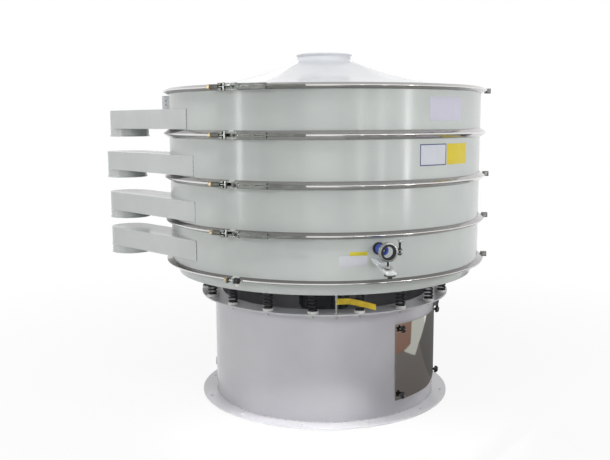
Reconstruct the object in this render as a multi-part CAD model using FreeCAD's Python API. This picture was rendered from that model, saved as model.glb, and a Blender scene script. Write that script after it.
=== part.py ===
import FreeCAD, Part
import math
import os

# Vertical-motor vibrating sieve: three screening decks in four stacked frames, on a sprung base.
# Millimetres and degrees. Z is the machine axis and Z = 0 the floor.
# A plan angle is 0 on the -Y side, where an operator stands, and grows towards +X.
# A local shape is drawn with X pointing away from the axis, Y along the rim and Z up.

Vector = FreeCAD.Vector
UP = Vector(0, 0, 1)

# --- overall sizes ---------------------------------------------------------------------------
SHELL_RADIUS = 900.0          # outside of every frame
DRUM_RADIUS = 654.0           # outside of the base
BASE_HEIGHT = 617.0           # floor to the top flange's upper face
SPRING_ROOM = 131.0           # top flange to the vibrating table
TABLE_RISE = 70.0             # underside of the table to the lowest ring joint
TABLE_BOTTOM_Z = BASE_HEIGHT + SPRING_ROOM
LOWEST_RING_Z = TABLE_BOTTOM_Z + TABLE_RISE

# --- sieve frames ----------------------------------------------------------------------------
SHELL_WALL = 3.0
FRAME_PITCH = [234.0, 243.0, 243.0, 234.0]    # frame 1, the top one, to frame 4
RING_GAP = [6.0, 16.0, 16.0, 16.0, 6.0]       # room for gasket, or gaskets and screen, at rings 1-5
RING_COUNT = len(RING_GAP)
FRAME_COUNT = len(FRAME_PITCH)
SCREEN_RINGS = [2, 3, 4]      # ring joints that also hold a screen
FIT_GAP = 0.5                 # clearance between a clamped flange and its band

# --- clamp bands -----------------------------------------------------------------------------
BAND_HEIGHT = [31.0, 46.0, 42.0, 33.0, 24.0]
BAND_REACH = 33.0             # nose of the band outside the shell
BAND_TIP_RADIUS = SHELL_RADIUS + BAND_REACH
BAND_FLAT = 3.0               # half height of the band's nose
BAND_WALL = 3.2               # measured along the radius
BAND_LEG_OVERLAP = 1.5        # how far the legs end outside the shell
BAND_JOINT_ANGLE = [88.0, 112.0, 88.0, 88.0, 88.0]
BAND_REAR_JOINT_ANGLE = 208.0
BAND_JOINT_GAP = 10.0
JOINT_LUG_THICK = 6.0
JOINT_LUG_REACH = 34.0
JOINT_LUG_HEIGHT = 28.0
JOINT_BOLT_RADIUS = 6.0
JOINT_NUT_FLATS = 19.0
JOINT_NUT_HEIGHT = 10.0
HOLE_CLEARANCE = 0.5          # radial, round a bolt in a plain hole
RUNNING_CLEARANCE = 0.05      # radial, round a pivot or a shaft

# --- lever latch -----------------------------------------------------------------------------
LATCH_ANGLE = -32.0           # where the fork stands on the rim
LATCH_LINE = 14.0             # draw bolt's height above the band's nose
FORK_LENGTH = 22.0
FORK_HEIGHT = 36.0
FORK_REACH = 29.0
DRAW_BOLT_RADIUS = 6.0
FORK_SLOT_CLEARANCE = 1.0
SLEEVE_RADIUS = 13.0
SLEEVE_LENGTH = 52.0
LATCH_NUT_FLATS = 24.0
LATCH_NUT_LENGTH = 16.0
BOLT_TAIL = 8.0
FORK_SEAT_GAP = 1.0           # the sleeve's face leans a little to the fork's
YOKE_HEAD_LENGTH = 10.0
YOKE_HEAD_GAP = 3.0
YOKE_HEAD_MARGIN = 2.0
YOKE_ROD_RADIUS = 3.2
YOKE_EYE_HALF = 4.0
YOKE_EYE_WALL = 3.5
LEVER_PIVOT_ARC = 63.5        # along the rim from the fork
LINK_PIVOT_THROW = 26.0       # from the lever's pivot to the yoke's pin
PIVOT_RADIUS = 4.0
PIVOT_LUG_HALF = 6.0
PIVOT_LUG_ROUND = 8.0
SIDE_GAP = 0.5                # between the lug, the lever's cheeks and the yoke's rods
CHEEK_THICK = 3.0
CHEEK_ROUND = 8.0
CHANNEL_ARC = 14.0            # from the yoke's pin to the start of the lever's channel
CHANNEL_LENGTH = 150.0
CHANNEL_DEPTH = 17.0
CHANNEL_HEIGHT = 28.0
CHANNEL_WALL = 2.5
CHANNEL_SLOT_LENGTH = 48.0
CHANNEL_SLOT_HEIGHT = 8.0
HANDLE_LENGTH = 190.0
HANDLE_RADIUS = 6.5
LATCH_COUNT = 4
LATCH_SEAM_START = 12.0       # along the rim from the fork
LATCH_SEAM_END = 46.0

# --- clamp bolt of the lowest band -----------------------------------------------------------
CLAMP_BOLT_ANGLE = -29.2
CLAMP_LUG_SPREAD = 42.0
CLAMP_KNOB_RADIUS = 15.0
CLAMP_KNOB_LENGTH = 22.0
CLAMP_BALL_RADIUS = 9.0

# --- cover -----------------------------------------------------------------------------------
COVER_WALL = 3.0
COVER_MIDDLE_RADIUS = 480.0
COVER_MIDDLE_RISE = 70.0      # above ring 1
NECK_RADIUS = 155.0
NECK_BASE_RISE = 178.0
NECK_TOP_RISE = 214.0
NECK_LIP_RADIUS = 5.0

# --- discharge spouts ------------------------------------------------------------------------
SPOUT_ANGLE = [-48.5, -46.3, -45.7, -43.9]
SPOUT_RISE = [26.5, 26.0, 28.0, 56.5]         # floor of the spout above the ring below it
SPOUT_HEIGHT = 107.0
SPOUT_WIDTH = 230.0
SPOUT_REACH = [913.0, 924.0, 896.0, 871.0]     # from the tangent point to the outlet's centre
SPOUT_WALL = 3.0
SPOUT_WELD_SETBACK = [70.0, 46.0, 46.0, 70.0]
OUTLET_DROP = 48.0
OUTLET_LIP = 4.0
OUTLET_LIP_HEIGHT = 8.0

# --- screens ---------------------------------------------------------------------------------
SCREEN_RING_OUTER = SHELL_RADIUS + 15.0
SCREEN_RING_INNER = SHELL_RADIUS - 24.0
SCREEN_RING_HEIGHT = 8.0
MESH_THICK = 0.6

# --- lowest deck, vibrating table and springs ------------------------------------------------
DOME_EDGE_RISE = 48.0         # above ring 5
DOME_CROWN_RISE = 108.0
DOME_WALL = 3.0
TABLE_LIP_RADIUS = SHELL_RADIUS - 36.0
TABLE_PLATE = 8.0
TABLE_RIM_DROP = 5.0
TABLE_BORE_RADIUS = 158.0
SPRING_COUNT = 18
SPRING_FIRST_ANGLE = -4.8
SPRING_CIRCLE = DRUM_RADIUS + 49.0
SPRING_RADIUS = 21.5          # to the middle of the wire
SPRING_WIRE_RADIUS = 5.0      # steel and its rubber sheath
SPRING_TURNS = 6.0
SPRING_SEAT_GAP = 0.2
CUP_RADIUS = 29.5
CUP_WALL = 2.5
CUP_HEIGHT = 15.0
CUP_FLOOR = 4.0
SPRING_BOLT_RADIUS = 5.0
SPRING_BOLT_TAIL = 18.0
SPRING_NUT_FLATS = 17.0
SPRING_NUT_HEIGHT = 8.0
SPRING_BOLT_HEAD_HEIGHT = 5.0

# --- base ------------------------------------------------------------------------------------
DRUM_WALL = 4.0
FLANGE_THICK = 8.0
TOP_FLANGE_RADIUS = DRUM_RADIUS + 79.0
FLOOR_FLANGE_RADIUS = DRUM_RADIUS + 84.0
FLANGE_INNER_RADIUS = DRUM_RADIUS - 44.0
ANCHOR_CIRCLE = DRUM_RADIUS + 46.0
ANCHOR_COUNT = 12
ANCHOR_HOLE_RADIUS = 9.0
ANCHOR_FIRST_ANGLE = 20.0
BOSS_Z = 158.0
BOSS_RADIUS = 24.0
BOSS_REACH = 6.0
BOSS_ANGLES = [-86.0, 100.0]

# --- access door -----------------------------------------------------------------------------
DOOR_START_ANGLE = 36.0
DOOR_END_ANGLE = 88.0
DOOR_BOTTOM_Z = 86.0
DOOR_TOP_Z = BASE_HEIGHT - 103.0
DOOR_WALL = 3.0
SEAL_THICK = 3.0
SEAL_GAP = 0.3                # between the seal and the closed door
DOOR_LAP = 52.0               # from the door's edge to the edge of the opening
SEAL_INSET = 8.0
KNOB_INSET = 28.0
KNOB_RADIUS = 21.0
KNOB_LOBES = 5
KNOB_LOBE_RADIUS = 7.0
KNOB_THICK = 16.0
KNOB_NECK_RADIUS = 9.0
KNOB_NECK_LENGTH = 7.0
STUD_RADIUS = 4.0
STUD_LENGTH = 40.0
STUD_ROOT = 12.0
STUD_BORE_DEPTH = 14.0

# --- vibration motor -------------------------------------------------------------------------
MOTOR_RADIUS = 138.0
MOTOR_FIN_REACH = 14.0
MOTOR_FIN_THICK = 8.0
MOTOR_FIN_COUNT = 16
MOTOR_LENGTH = 290.0
MOTOR_FLANGE_RADIUS = 205.0
MOTOR_FLANGE_THICK = 14.0
MOTOR_BOLT_CIRCLE = 182.0
MOTOR_BOLT_COUNT = 8
MOTOR_BOLT_RADIUS = 8.0
MOTOR_BOLT_FLATS = 24.0
MOTOR_BOLT_HEAD = 10.0
SHAFT_RADIUS = 28.0
SHAFT_OVERHANG = 72.0
WEIGHT_RADIUS = 135.0
WEIGHT_SPAN = 150.0
WEIGHT_THICK = 30.0
WEIGHT_HUB_RADIUS = 48.0
WEIGHT_STANDOFF = 8.0

# --- transport stud and its tag --------------------------------------------------------------
TRANSPORT_ANGLE = 5.0
TRANSPORT_CIRCLE = SPRING_CIRCLE + 17.0
TRANSPORT_RADIUS = 6.0
TRANSPORT_NUT_FLATS = 20.0
TRANSPORT_GAP = 18.0          # below the table, more than the table ever moves
TAG_WALL = 1.2
TAG_SWING = 2.0               # turn of the tag's face away from the stud's own angle
TAG_BOTTOM_RISE = 52.0
TAG_WIDTH = 32.0
TAG_LEVEL_LENGTH = 66.0
TAG_TAIL_LENGTH = 140.0
TAG_TAIL_DROP = 36.0

# --- motor cable, its glands and the terminal box --------------------------------------------
CABLE_ANGLE = 99.5
CABLE_RADIUS = 5.0
CABLE_BEND = 50.0
CABLE_DROP = 79.0
GLAND_RADIUS = 11.0
GLAND_REACH = 14.0
BOX_ANGLE = 93.5
BOX_BOTTOM_Z = BASE_HEIGHT - 129.0
BOX_HEIGHT = 62.0
BOX_WIDTH = 58.0
BOX_DEPTH = 40.0
BOX_LID = 6.0
BOX_LID_LAP = 2.0

# --- hose port, its cap, the hose clip and its bracket ---------------------------------------
PORT_ANGLE = 17.3
PORT_Z = LOWEST_RING_Z + 167.0
PORT_TUBE_RADIUS = 20.0
PORT_TUBE_REACH = 20.0
PORT_RING_RADIUS = 31.0
PORT_RING_THICK = 12.0
CAP_RADIUS = 25.0
CAP_LENGTH = 58.0
CAP_RECESS_RADIUS = 10.0
CAP_RECESS_DEPTH = 16.0
CLIP_REACH = 122.0            # from the shell to the middle of the clip
CLIP_WIDTH = 20.0
CLIP_OUTER_RADIUS = 47.0
CLIP_STRAP = 9.0
CLIP_INNER_RADIUS = 28.0
CLIP_EAR_LENGTH = 26.0
CLIP_EAR_THICK = 3.0
CLIP_EAR_SPREAD = 9.0
CLIP_SCREW_RADIUS = 6.0
CLIP_SCREW_RISE = 46.0
CLIP_HEAD_FLATS = 20.0
CLIP_HEAD_HEIGHT = 12.0
CLIP_STUD_RADIUS = 5.0
CLIP_NUT_FLATS = 26.0
CLIP_NUT_HEIGHT = 9.0
BRACKET_LENGTH = 172.0
BRACKET_ROOT_WIDTH = 92.0
BRACKET_END_WIDTH = 54.0
BRACKET_THICK = 5.0
BRACKET_DROP = 16.0           # degrees below level
BRACKET_ROOT_Z = PORT_Z - 49.0
BUFFER_RADIUS = 28.0
BUFFER_THICK = 7.0
BUFFER_INSET = 24.0
BUFFER_NUT_FLATS = 22.0
BUFFER_NUT_HEIGHT = 12.0

# --- side lug and blank plates on the frames -------------------------------------------------
SIDE_LUG_ANGLE = -84.0
SIDE_LUG_DROP = 20.0          # top edge below ring 1
SIDE_LUG_HEIGHT = 79.0
SIDE_LUG_REACH = 40.0
SIDE_LUG_THICK = 6.0
SIDE_LUG_BOLT_RADIUS = 5.0
SIDE_LUG_BOLT_SPREAD = 22.0
PLATE_THICK = 0.8
# start angle, end angle, bottom and top above the lowest ring joint
PLATES = [
    (35.5, 51.8, 785.0, 903.0),
    (31.8, 43.4, 563.0, 671.0),
    (43.9, 55.9, 564.0, 670.0),
    (4.6, 13.6, 79.0, 133.0),
    (8.0, 13.8, 134.5, 153.0),
]


# --- shared building steps -------------------------------------------------------------------

def stand(shape, angle):
    """Turns a shape drawn on the local X side to its plan angle."""
    shape.rotate(Vector(), UP, angle - 90.0)
    return shape


def plan_point(radius, angle, along=0.0, height=0.0):
    """Point at a radius on a plan angle, moved along the rim's tangent."""
    turn = math.radians(angle)
    outward = Vector(math.sin(turn), -math.cos(turn), 0)
    rimward = Vector(math.cos(turn), math.sin(turn), 0)
    return outward * radius + rimward * along + UP * height


def spun(outline, start=90.0, span=360.0):
    """Solid of revolution of a closed outline of (radius, height) points."""
    points = [Vector(radius, 0, height) for radius, height in outline]
    face = Part.Face(Part.makePolygon(points + points[:1]))
    return stand(face.revolve(Vector(), UP, span), start)


def hoop(inner, outer, bottom, top, start=90.0, span=360.0):
    """Ring, or a stretch of one, with a plain rectangular section."""
    return spun([(inner, bottom), (outer, bottom), (outer, top), (inner, top)], start, span)


def block(x_from, x_to, y_from, y_to, z_from, z_to):
    """Box between pairs of local coordinates."""
    corner = Vector(x_from, y_from, z_from)
    return Part.makeBox(x_to - x_from, y_to - y_from, z_to - z_from, corner)


def rod(radius, start, end):
    """Round bar between two points."""
    return Part.makeCylinder(radius, (end - start).Length, start, end - start)


def hexagon(flats, start, end):
    """Hexagonal bar between two points, given across its flats."""
    path = end - start
    corner = flats / math.sqrt(3.0)
    turns = [k * math.pi / 3 for k in range(7)]
    ring = [Vector(corner * math.cos(turn), corner * math.sin(turn), 0) for turn in turns]
    bar = Part.Face(Part.makePolygon(ring)).extrude(Vector(0, 0, path.Length))
    bar.Placement = FreeCAD.Placement(start, FreeCAD.Rotation(UP, path))
    return bar


def joined(pieces):
    """One solid out of pieces that overlap or touch."""
    return pieces[0].fuse(pieces[1:]).removeSplitter()


def around(count, first, make):
    """Equal pieces at equal angles round the machine."""
    return [make(first + k * 360.0 / count) for k in range(count)]


def save(node, solids):
    """Writes the solids of one node as parts/NODE.step."""
    shape = solids if isinstance(solids, Part.Shape) else Part.makeCompound(solids)
    shape.exportStep("parts/%s.step" % node)


# --- heights and radii that several pieces share ---------------------------------------------

def ring_z(ring):
    """Height of the middle of ring 1 (top) to 5 (bottom)."""
    return LOWEST_RING_Z + sum(FRAME_PITCH[ring - 1:])


def leg_radius(ring, rise):
    """Inner radius of a band's leg at a height above or below its middle."""
    nose = BAND_TIP_RADIUS - BAND_WALL
    end = SHELL_RADIUS + BAND_LEG_OVERLAP
    half = BAND_HEIGHT[ring - 1] / 2
    return nose - (nose - end) * (rise - BAND_FLAT) / (half - BAND_FLAT)


def flange_corners(ring, side):
    """Clamped flange above (side 1) or below (side -1) a ring, from its face to the shell."""
    face = RING_GAP[ring - 1] / 2
    back = BAND_HEIGHT[ring - 1] / 2
    middle = ring_z(ring)
    return [
        (leg_radius(ring, face) - FIT_GAP, middle + side * face),
        (leg_radius(ring, back) - FIT_GAP, middle + side * back),
        (SHELL_RADIUS, middle + side * back),
    ]


def rim_angle(arc):
    """Plan angle of a latch piece at an arc along the rim from the fork."""
    return LATCH_ANGLE + math.degrees(arc / (BAND_TIP_RADIUS + LATCH_LINE))


DRAW_LINE = BAND_TIP_RADIUS + LATCH_LINE
LINK_PIVOT_ARC = LEVER_PIVOT_ARC + LINK_PIVOT_THROW
CHANNEL_START_ARC = LINK_PIVOT_ARC + CHANNEL_ARC
SHELL_INNER = SHELL_RADIUS - SHELL_WALL
DOOR_MIDDLE_ANGLE = (DOOR_START_ANGLE + DOOR_END_ANGLE) / 2
FLANGE_UNDERSIDE_Z = BASE_HEIGHT - FLANGE_THICK
TABLE_TOP_Z = TABLE_BOTTOM_Z + TABLE_PLATE
MOTOR_BOTTOM_Z = TABLE_TOP_Z - MOTOR_LENGTH


# --- frames, spouts, cover -------------------------------------------------------------------

def spout_inside(frame, inward):
    """Room inside a spout, run on past the shell by an inward length."""
    floor = ring_z(frame + 1) + SPOUT_RISE[frame - 1]
    height = SPOUT_HEIGHT - 2 * SPOUT_WALL
    return spout_block(frame, floor + SPOUT_WALL, height, SPOUT_WALL, inward)


def spout_block(frame, bottom, height, inset, inward):
    """Long box with a half-round end, its near side tangent to the shell."""
    half = SPOUT_WIDTH / 2 - inset
    middle = SHELL_RADIUS - SPOUT_WIDTH / 2
    reach = SPOUT_REACH[frame - 1]
    straight = block(middle - half, middle + half, -reach, inward, bottom, bottom + height)
    end = Part.makeCylinder(half, height, Vector(middle, -reach, bottom))
    return straight.fuse(end)


def frame_shell(frame):
    """Cylindrical frame with a clamped flange at each end and its spout opening."""
    lower = flange_corners(frame + 1, 1)
    upper = flange_corners(frame, -1)
    outline = lower + upper[::-1] + [(SHELL_INNER, upper[0][1]), (SHELL_INNER, lower[0][1])]
    setback = SPOUT_WELD_SETBACK[frame - 1]
    shell = spun(outline).cut(stand(spout_inside(frame, -setback), SPOUT_ANGLE[frame - 1]))
    if frame == FRAME_COUNT:
        shell = shell.cut(port_line(-PORT_TUBE_REACH, PORT_TUBE_REACH, PORT_TUBE_RADIUS))
    return shell


def spout(frame):
    """Tangential spout with a round outlet that drops from its half-round end."""
    floor = ring_z(frame + 1) + SPOUT_RISE[frame - 1]
    outlet = SPOUT_WIDTH / 2
    mouth = Vector(SHELL_RADIUS - outlet, -SPOUT_REACH[frame - 1], floor - OUTLET_DROP)
    duct = spout_block(frame, floor, SPOUT_HEIGHT, 0, -SPOUT_WELD_SETBACK[frame - 1])
    stub = Part.makeCylinder(outlet, OUTLET_DROP, mouth)
    lip = Part.makeCylinder(outlet + OUTLET_LIP, OUTLET_LIP_HEIGHT, mouth)
    bore = Part.makeCylinder(outlet - SPOUT_WALL, OUTLET_DROP + SPOUT_WALL, mouth)
    body = joined([duct, stub, lip]).cut(spout_inside(frame, 0)).cut(bore)
    body = body.cut(Part.makeCylinder(SHELL_RADIUS, 3 * SPOUT_HEIGHT, UP * (floor - SPOUT_HEIGHT)))
    return stand(body, SPOUT_ANGLE[frame - 1])


def circle_through(first, second, third):
    """Centre and radius of the circle through three (radius, height) points."""
    (ax, ay), (bx, by), (cx, cy) = first, second, third
    twice = 2 * (ax * (by - cy) + bx * (cy - ay) + cx * (ay - by))
    a, b, c = ax * ax + ay * ay, bx * bx + by * by, cx * cx + cy * cy
    x = (a * (by - cy) + b * (cy - ay) + c * (ay - by)) / twice
    y = (a * (cx - bx) + b * (ax - cx) + c * (bx - ax)) / twice
    return x, y, math.hypot(ax - x, ay - y)


def arc_edge(centre_x, centre_z, radius, x_from, x_to):
    """Lower arc of a circle between two radii of the machine."""
    def at(x):
        return Vector(x, 0, centre_z - math.sqrt(radius * radius - (x - centre_x) ** 2))
    return Part.Arc(at(x_from), at((x_from + x_to) / 2), at(x_to)).toShape()


def outline_face(edges, corners):
    """Face whose outline runs along the first edge, the corners, the second edge and back."""
    first, second = edges
    start, end = first.Vertexes[0].Point, first.Vertexes[-1].Point
    far_start, far_end = second.Vertexes[0].Point, second.Vertexes[-1].Point
    side = Part.makePolygon([end] + [Vector(r, 0, z) for r, z in corners[0]] + [far_end])
    back = Part.makePolygon([far_start] + [Vector(r, 0, z) for r, z in corners[1]] + [start])
    return Part.Face(Part.Wire([first] + side.Edges + [second] + back.Edges))


def cover():
    """Flared cover that rises to the feed neck."""
    top = ring_z(1)
    flange = flange_corners(1, 1)
    rim = flange[2]
    neck_base = (NECK_RADIUS, top + NECK_BASE_RISE)
    x, z, radius = circle_through(neck_base, (COVER_MIDDLE_RADIUS, top + COVER_MIDDLE_RISE), rim)
    inner_rim = SHELL_RADIUS - COVER_WALL
    inner_neck = NECK_RADIUS - COVER_WALL
    outer = arc_edge(x, z, radius, NECK_RADIUS, SHELL_RADIUS)
    under = arc_edge(x, z, radius + COVER_WALL, inner_neck, inner_rim)
    rim_side = [flange[1], flange[0], (inner_rim, flange[0][1])]
    neck_side = [(inner_neck, top + NECK_TOP_RISE), (NECK_RADIUS, top + NECK_TOP_RISE)]
    sheet = outline_face((outer, under), (rim_side, neck_side)).revolve(Vector(), UP, 360)
    lip_z = top + NECK_TOP_RISE - NECK_LIP_RADIUS
    lip = Part.makeTorus(NECK_RADIUS + NECK_LIP_RADIUS / 2, NECK_LIP_RADIUS, UP * lip_z)
    bore = Part.makeCylinder(inner_neck, NECK_TOP_RISE, UP * top)
    return sheet.fuse(lip).cut(bore)


# --- clamp bands -----------------------------------------------------------------------------

def band_outline(ring):
    """Section of a V band: nose at the tip, legs ending beside the shell."""
    middle = ring_z(ring)
    half = BAND_HEIGHT[ring - 1] / 2
    end = SHELL_RADIUS + BAND_LEG_OVERLAP
    nose = BAND_TIP_RADIUS - BAND_WALL
    outer = [(end + BAND_WALL, half), (BAND_TIP_RADIUS, BAND_FLAT)]
    inner = [(nose, BAND_FLAT), (end, half)]
    lower = [(radius, -rise) for radius, rise in outer[::-1] + inner[::-1]]
    return [(radius, middle + rise) for radius, rise in outer + lower + inner]


def joint_lug(ring, angle, side):
    """Upright lug at a band's end, drilled for the joint's bolt."""
    near = side * BAND_JOINT_GAP / 2
    far = near + side * JOINT_LUG_THICK
    middle = ring_z(ring)
    root = BAND_TIP_RADIUS - BAND_WALL / 2
    half = JOINT_LUG_HEIGHT / 2
    lug = block(root, root + JOINT_LUG_REACH, min(near, far), max(near, far), middle - half, middle + half)
    start = Vector(root + JOINT_LUG_REACH / 2, 0, middle)
    reach = Vector(0, 2 * side * BAND_JOINT_GAP, 0)
    hole = rod(JOINT_BOLT_RADIUS + HOLE_CLEARANCE, start, start + reach)
    return stand(lug.cut(hole), angle)


def latch_fork(ring):
    """Fork on the band that the draw bolt drops into, open away from the machine."""
    middle = ring_z(ring)
    root = BAND_TIP_RADIUS - BAND_WALL / 2
    half = FORK_LENGTH / 2
    slot = DRAW_BOLT_RADIUS + FORK_SLOT_CLEARANCE
    body = block(root, root + FORK_REACH, -half, half, middle - FORK_HEIGHT / 2, middle + FORK_HEIGHT / 2)
    gap = block(DRAW_LINE - slot, root + 2 * FORK_REACH, -FORK_LENGTH, FORK_LENGTH,
                middle - slot, middle + slot)
    return stand(body.cut(gap), LATCH_ANGLE)


def pivot_lug(ring):
    """Lug on the band that holds the lever's pivot."""
    middle = ring_z(ring)
    root = BAND_TIP_RADIUS - BAND_WALL / 2
    low = middle - PIVOT_LUG_HALF
    arm = block(root, DRAW_LINE, -PIVOT_LUG_ROUND, PIVOT_LUG_ROUND, low, middle + PIVOT_LUG_HALF)
    nose = Part.makeCylinder(PIVOT_LUG_ROUND, 2 * PIVOT_LUG_HALF, Vector(DRAW_LINE, 0, low))
    hole = Part.makeCylinder(PIVOT_RADIUS, 2 * PIVOT_LUG_HALF, Vector(DRAW_LINE, 0, low))
    return stand(arm.fuse(nose).cut(hole), rim_angle(LEVER_PIVOT_ARC))


def clamp_lug_angle(side):
    """Plan angle of a lug of the lowest band's clamp bolt."""
    return CLAMP_BOLT_ANGLE + side * math.degrees(CLAMP_LUG_SPREAD / 2 / BAND_TIP_RADIUS)


def clamp_lug(side):
    """Lug of the lowest band's clamp bolt, square to the bolt."""
    middle = ring_z(RING_COUNT)
    root = BAND_TIP_RADIUS - BAND_WALL / 2
    half = JOINT_LUG_HEIGHT / 2
    offset = side * CLAMP_LUG_SPREAD / 2
    near, far = offset - JOINT_LUG_THICK / 2, offset + JOINT_LUG_THICK / 2
    lug = block(root - BAND_WALL / 2, root + JOINT_LUG_REACH, near, far, middle - half, middle + half)
    hole_x = root + JOINT_LUG_REACH / 2
    start = Vector(hole_x, near - JOINT_LUG_THICK, middle)
    hole = rod(JOINT_BOLT_RADIUS + HOLE_CLEARANCE, start, start + Vector(0, 3 * JOINT_LUG_THICK, 0))
    inside = Part.makeCylinder(root - BAND_WALL / 2, JOINT_LUG_HEIGHT, UP * (middle - half))
    return stand(lug.cut(hole), CLAMP_BOLT_ANGLE).cut(inside)


def band(ring):
    """Clamp band in three stretches, with the lugs at their ends."""
    gap = math.degrees(BAND_JOINT_GAP / 2 / BAND_TIP_RADIUS)
    joint = BAND_JOINT_ANGLE[ring - 1]
    if ring <= LATCH_COUNT:
        seam_start, seam_end = rim_angle(LATCH_SEAM_START), rim_angle(LATCH_SEAM_END)
        front_start, front_end = [pivot_lug(ring)], [latch_fork(ring)]
    else:
        seam_start, seam_end = clamp_lug_angle(-1), clamp_lug_angle(1)
        front_start, front_end = [clamp_lug(1)], [clamp_lug(-1)]
    stretches = [
        (seam_end, joint - gap, front_start + [joint_lug(ring, joint, -1)]),
        (joint + gap, BAND_REAR_JOINT_ANGLE - gap,
         [joint_lug(ring, joint, 1), joint_lug(ring, BAND_REAR_JOINT_ANGLE, -1)]),
        (BAND_REAR_JOINT_ANGLE + gap, seam_start + 360.0,
         [joint_lug(ring, BAND_REAR_JOINT_ANGLE, 1)] + front_end),
    ]
    outline = band_outline(ring)
    return [joined([spun(outline, start, end - start)] + lugs) for start, end, lugs in stretches]


def joint_bolt(ring, angle):
    """Hexagon bolt and nut that close a band's joint."""
    x = BAND_TIP_RADIUS - BAND_WALL / 2 + JOINT_LUG_REACH / 2
    middle = ring_z(ring)
    face = BAND_JOINT_GAP / 2 + JOINT_LUG_THICK
    tail = face + JOINT_NUT_HEIGHT + BOLT_TAIL

    def at(along):
        return Vector(x, along, middle)
    bolt = rod(JOINT_BOLT_RADIUS, at(-face), at(tail))
    head = hexagon(JOINT_NUT_FLATS, at(-face - JOINT_NUT_HEIGHT), at(-face))
    nut = hexagon(JOINT_NUT_FLATS, at(face), at(face + JOINT_NUT_HEIGHT)).cut(bolt)
    return [stand(joined([bolt, head]), angle), stand(nut, angle)]


def stack_bolts():
    """Bolts and nuts of the bands' plain joints and of the motor's flange, and the levers' pivot pins."""
    solids = motor_bolts() + latch_pivots()
    for ring in range(1, RING_COUNT + 1):
        solids += joint_bolt(ring, BAND_JOINT_ANGLE[ring - 1])
        solids += joint_bolt(ring, BAND_REAR_JOINT_ANGLE)
    return solids


def clamp_bolt():
    """Clamp bolt of the lowest band: brass nut at one end, round knob with a ball below at the other."""
    x = BAND_TIP_RADIUS - BAND_WALL / 2 + JOINT_LUG_REACH / 2
    middle = ring_z(RING_COUNT)
    face = CLAMP_LUG_SPREAD / 2 + JOINT_LUG_THICK / 2
    tail = face + LATCH_NUT_LENGTH + BOLT_TAIL

    def at(along):
        return Vector(x, along, middle)
    bolt = rod(JOINT_BOLT_RADIUS, at(-tail), at(face))
    nut = hexagon(LATCH_NUT_FLATS, at(-face - LATCH_NUT_LENGTH), at(-face)).cut(bolt)
    knob = rod(CLAMP_KNOB_RADIUS, at(face), at(face + CLAMP_KNOB_LENGTH))
    drop = CLAMP_KNOB_RADIUS + CLAMP_BALL_RADIUS / 2
    ball = Part.makeSphere(CLAMP_BALL_RADIUS, at(face + CLAMP_KNOB_LENGTH / 2) - UP * drop)
    return [stand(piece, CLAMP_BOLT_ANGLE) for piece in (joined([bolt, knob, ball]), nut)]


# --- lever latches ---------------------------------------------------------------------------

def latch_pivots():
    """Pivot pins of the four levers."""
    half = PIVOT_LUG_HALF + SIDE_GAP + CHEEK_THICK
    angle = rim_angle(LEVER_PIVOT_ARC)
    pins = []
    for ring in range(1, LATCH_COUNT + 1):
        low = plan_point(DRAW_LINE, angle, 0, ring_z(ring) - half)
        pins.append(Part.makeCylinder(PIVOT_RADIUS, 2 * half, low))
    return pins


def lever(ring):
    """Latch lever: two cheeks on the pivot, a slotted channel and a round handle."""
    middle = ring_z(ring)
    cheek_in = PIVOT_LUG_HALF + SIDE_GAP
    cheek_out = cheek_in + CHEEK_THICK
    channel_angle = rim_angle(CHANNEL_START_ARC + CHANNEL_LENGTH / 2)
    handle_angle = rim_angle(CHANNEL_START_ARC + CHANNEL_LENGTH + HANDLE_LENGTH / 2)
    pivot_angle = rim_angle(LEVER_PIVOT_ARC)
    pin_angle = rim_angle(LINK_PIVOT_ARC)
    run = CHANNEL_START_ARC - LEVER_PIVOT_ARC + CHANNEL_WALL
    pieces = []
    for low in (middle - cheek_out, middle + cheek_in):
        strip = block(DRAW_LINE - CHEEK_ROUND, DRAW_LINE + CHEEK_ROUND, 0, run, low, low + CHEEK_THICK)
        nose = Part.makeCylinder(CHEEK_ROUND, CHEEK_THICK, Vector(DRAW_LINE, 0, low))
        pieces.append(stand(strip.fuse(nose), pivot_angle))
    half = CHANNEL_HEIGHT / 2
    near, far = DRAW_LINE - CHANNEL_DEPTH / 2, DRAW_LINE + CHANNEL_DEPTH / 2
    reach = CHANNEL_LENGTH / 2
    channel = block(near, far, -reach, reach, middle - half, middle + half)
    hollow = block(near - CHANNEL_WALL, far - CHANNEL_WALL, -reach + CHANNEL_WALL, reach - CHANNEL_WALL,
                   middle - half + CHANNEL_WALL, middle + half - CHANNEL_WALL)
    channel = channel.cut(hollow)
    for side in (-1, 1):
        centre = side * reach / 2
        slot = block(far - 2 * CHANNEL_WALL, far + CHANNEL_WALL, centre - CHANNEL_SLOT_LENGTH / 2,
                     centre + CHANNEL_SLOT_LENGTH / 2, middle - CHANNEL_SLOT_HEIGHT / 2,
                     middle + CHANNEL_SLOT_HEIGHT / 2)
        channel = channel.cut(slot)
    pieces.append(stand(channel, channel_angle))
    start = Vector(DRAW_LINE, -HANDLE_LENGTH / 2 - HANDLE_RADIUS, middle)
    end = Vector(DRAW_LINE, HANDLE_LENGTH / 2, middle)
    pieces.append(stand(rod(HANDLE_RADIUS, start, end), handle_angle))
    body = joined(pieces)
    for angle in (pivot_angle, pin_angle):
        low = plan_point(DRAW_LINE, angle, 0, middle - half)
        body = body.cut(Part.makeCylinder(PIVOT_RADIUS + RUNNING_CLEARANCE, CHANNEL_HEIGHT, low))
    return body


def link_line(ring):
    """Start and direction of the draw bolt's axis, from the yoke's pin to the fork."""
    pin = plan_point(DRAW_LINE, rim_angle(LINK_PIVOT_ARC), 0, ring_z(ring))
    fork = plan_point(DRAW_LINE, LATCH_ANGLE, 0, ring_z(ring))
    return pin, fork


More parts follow.
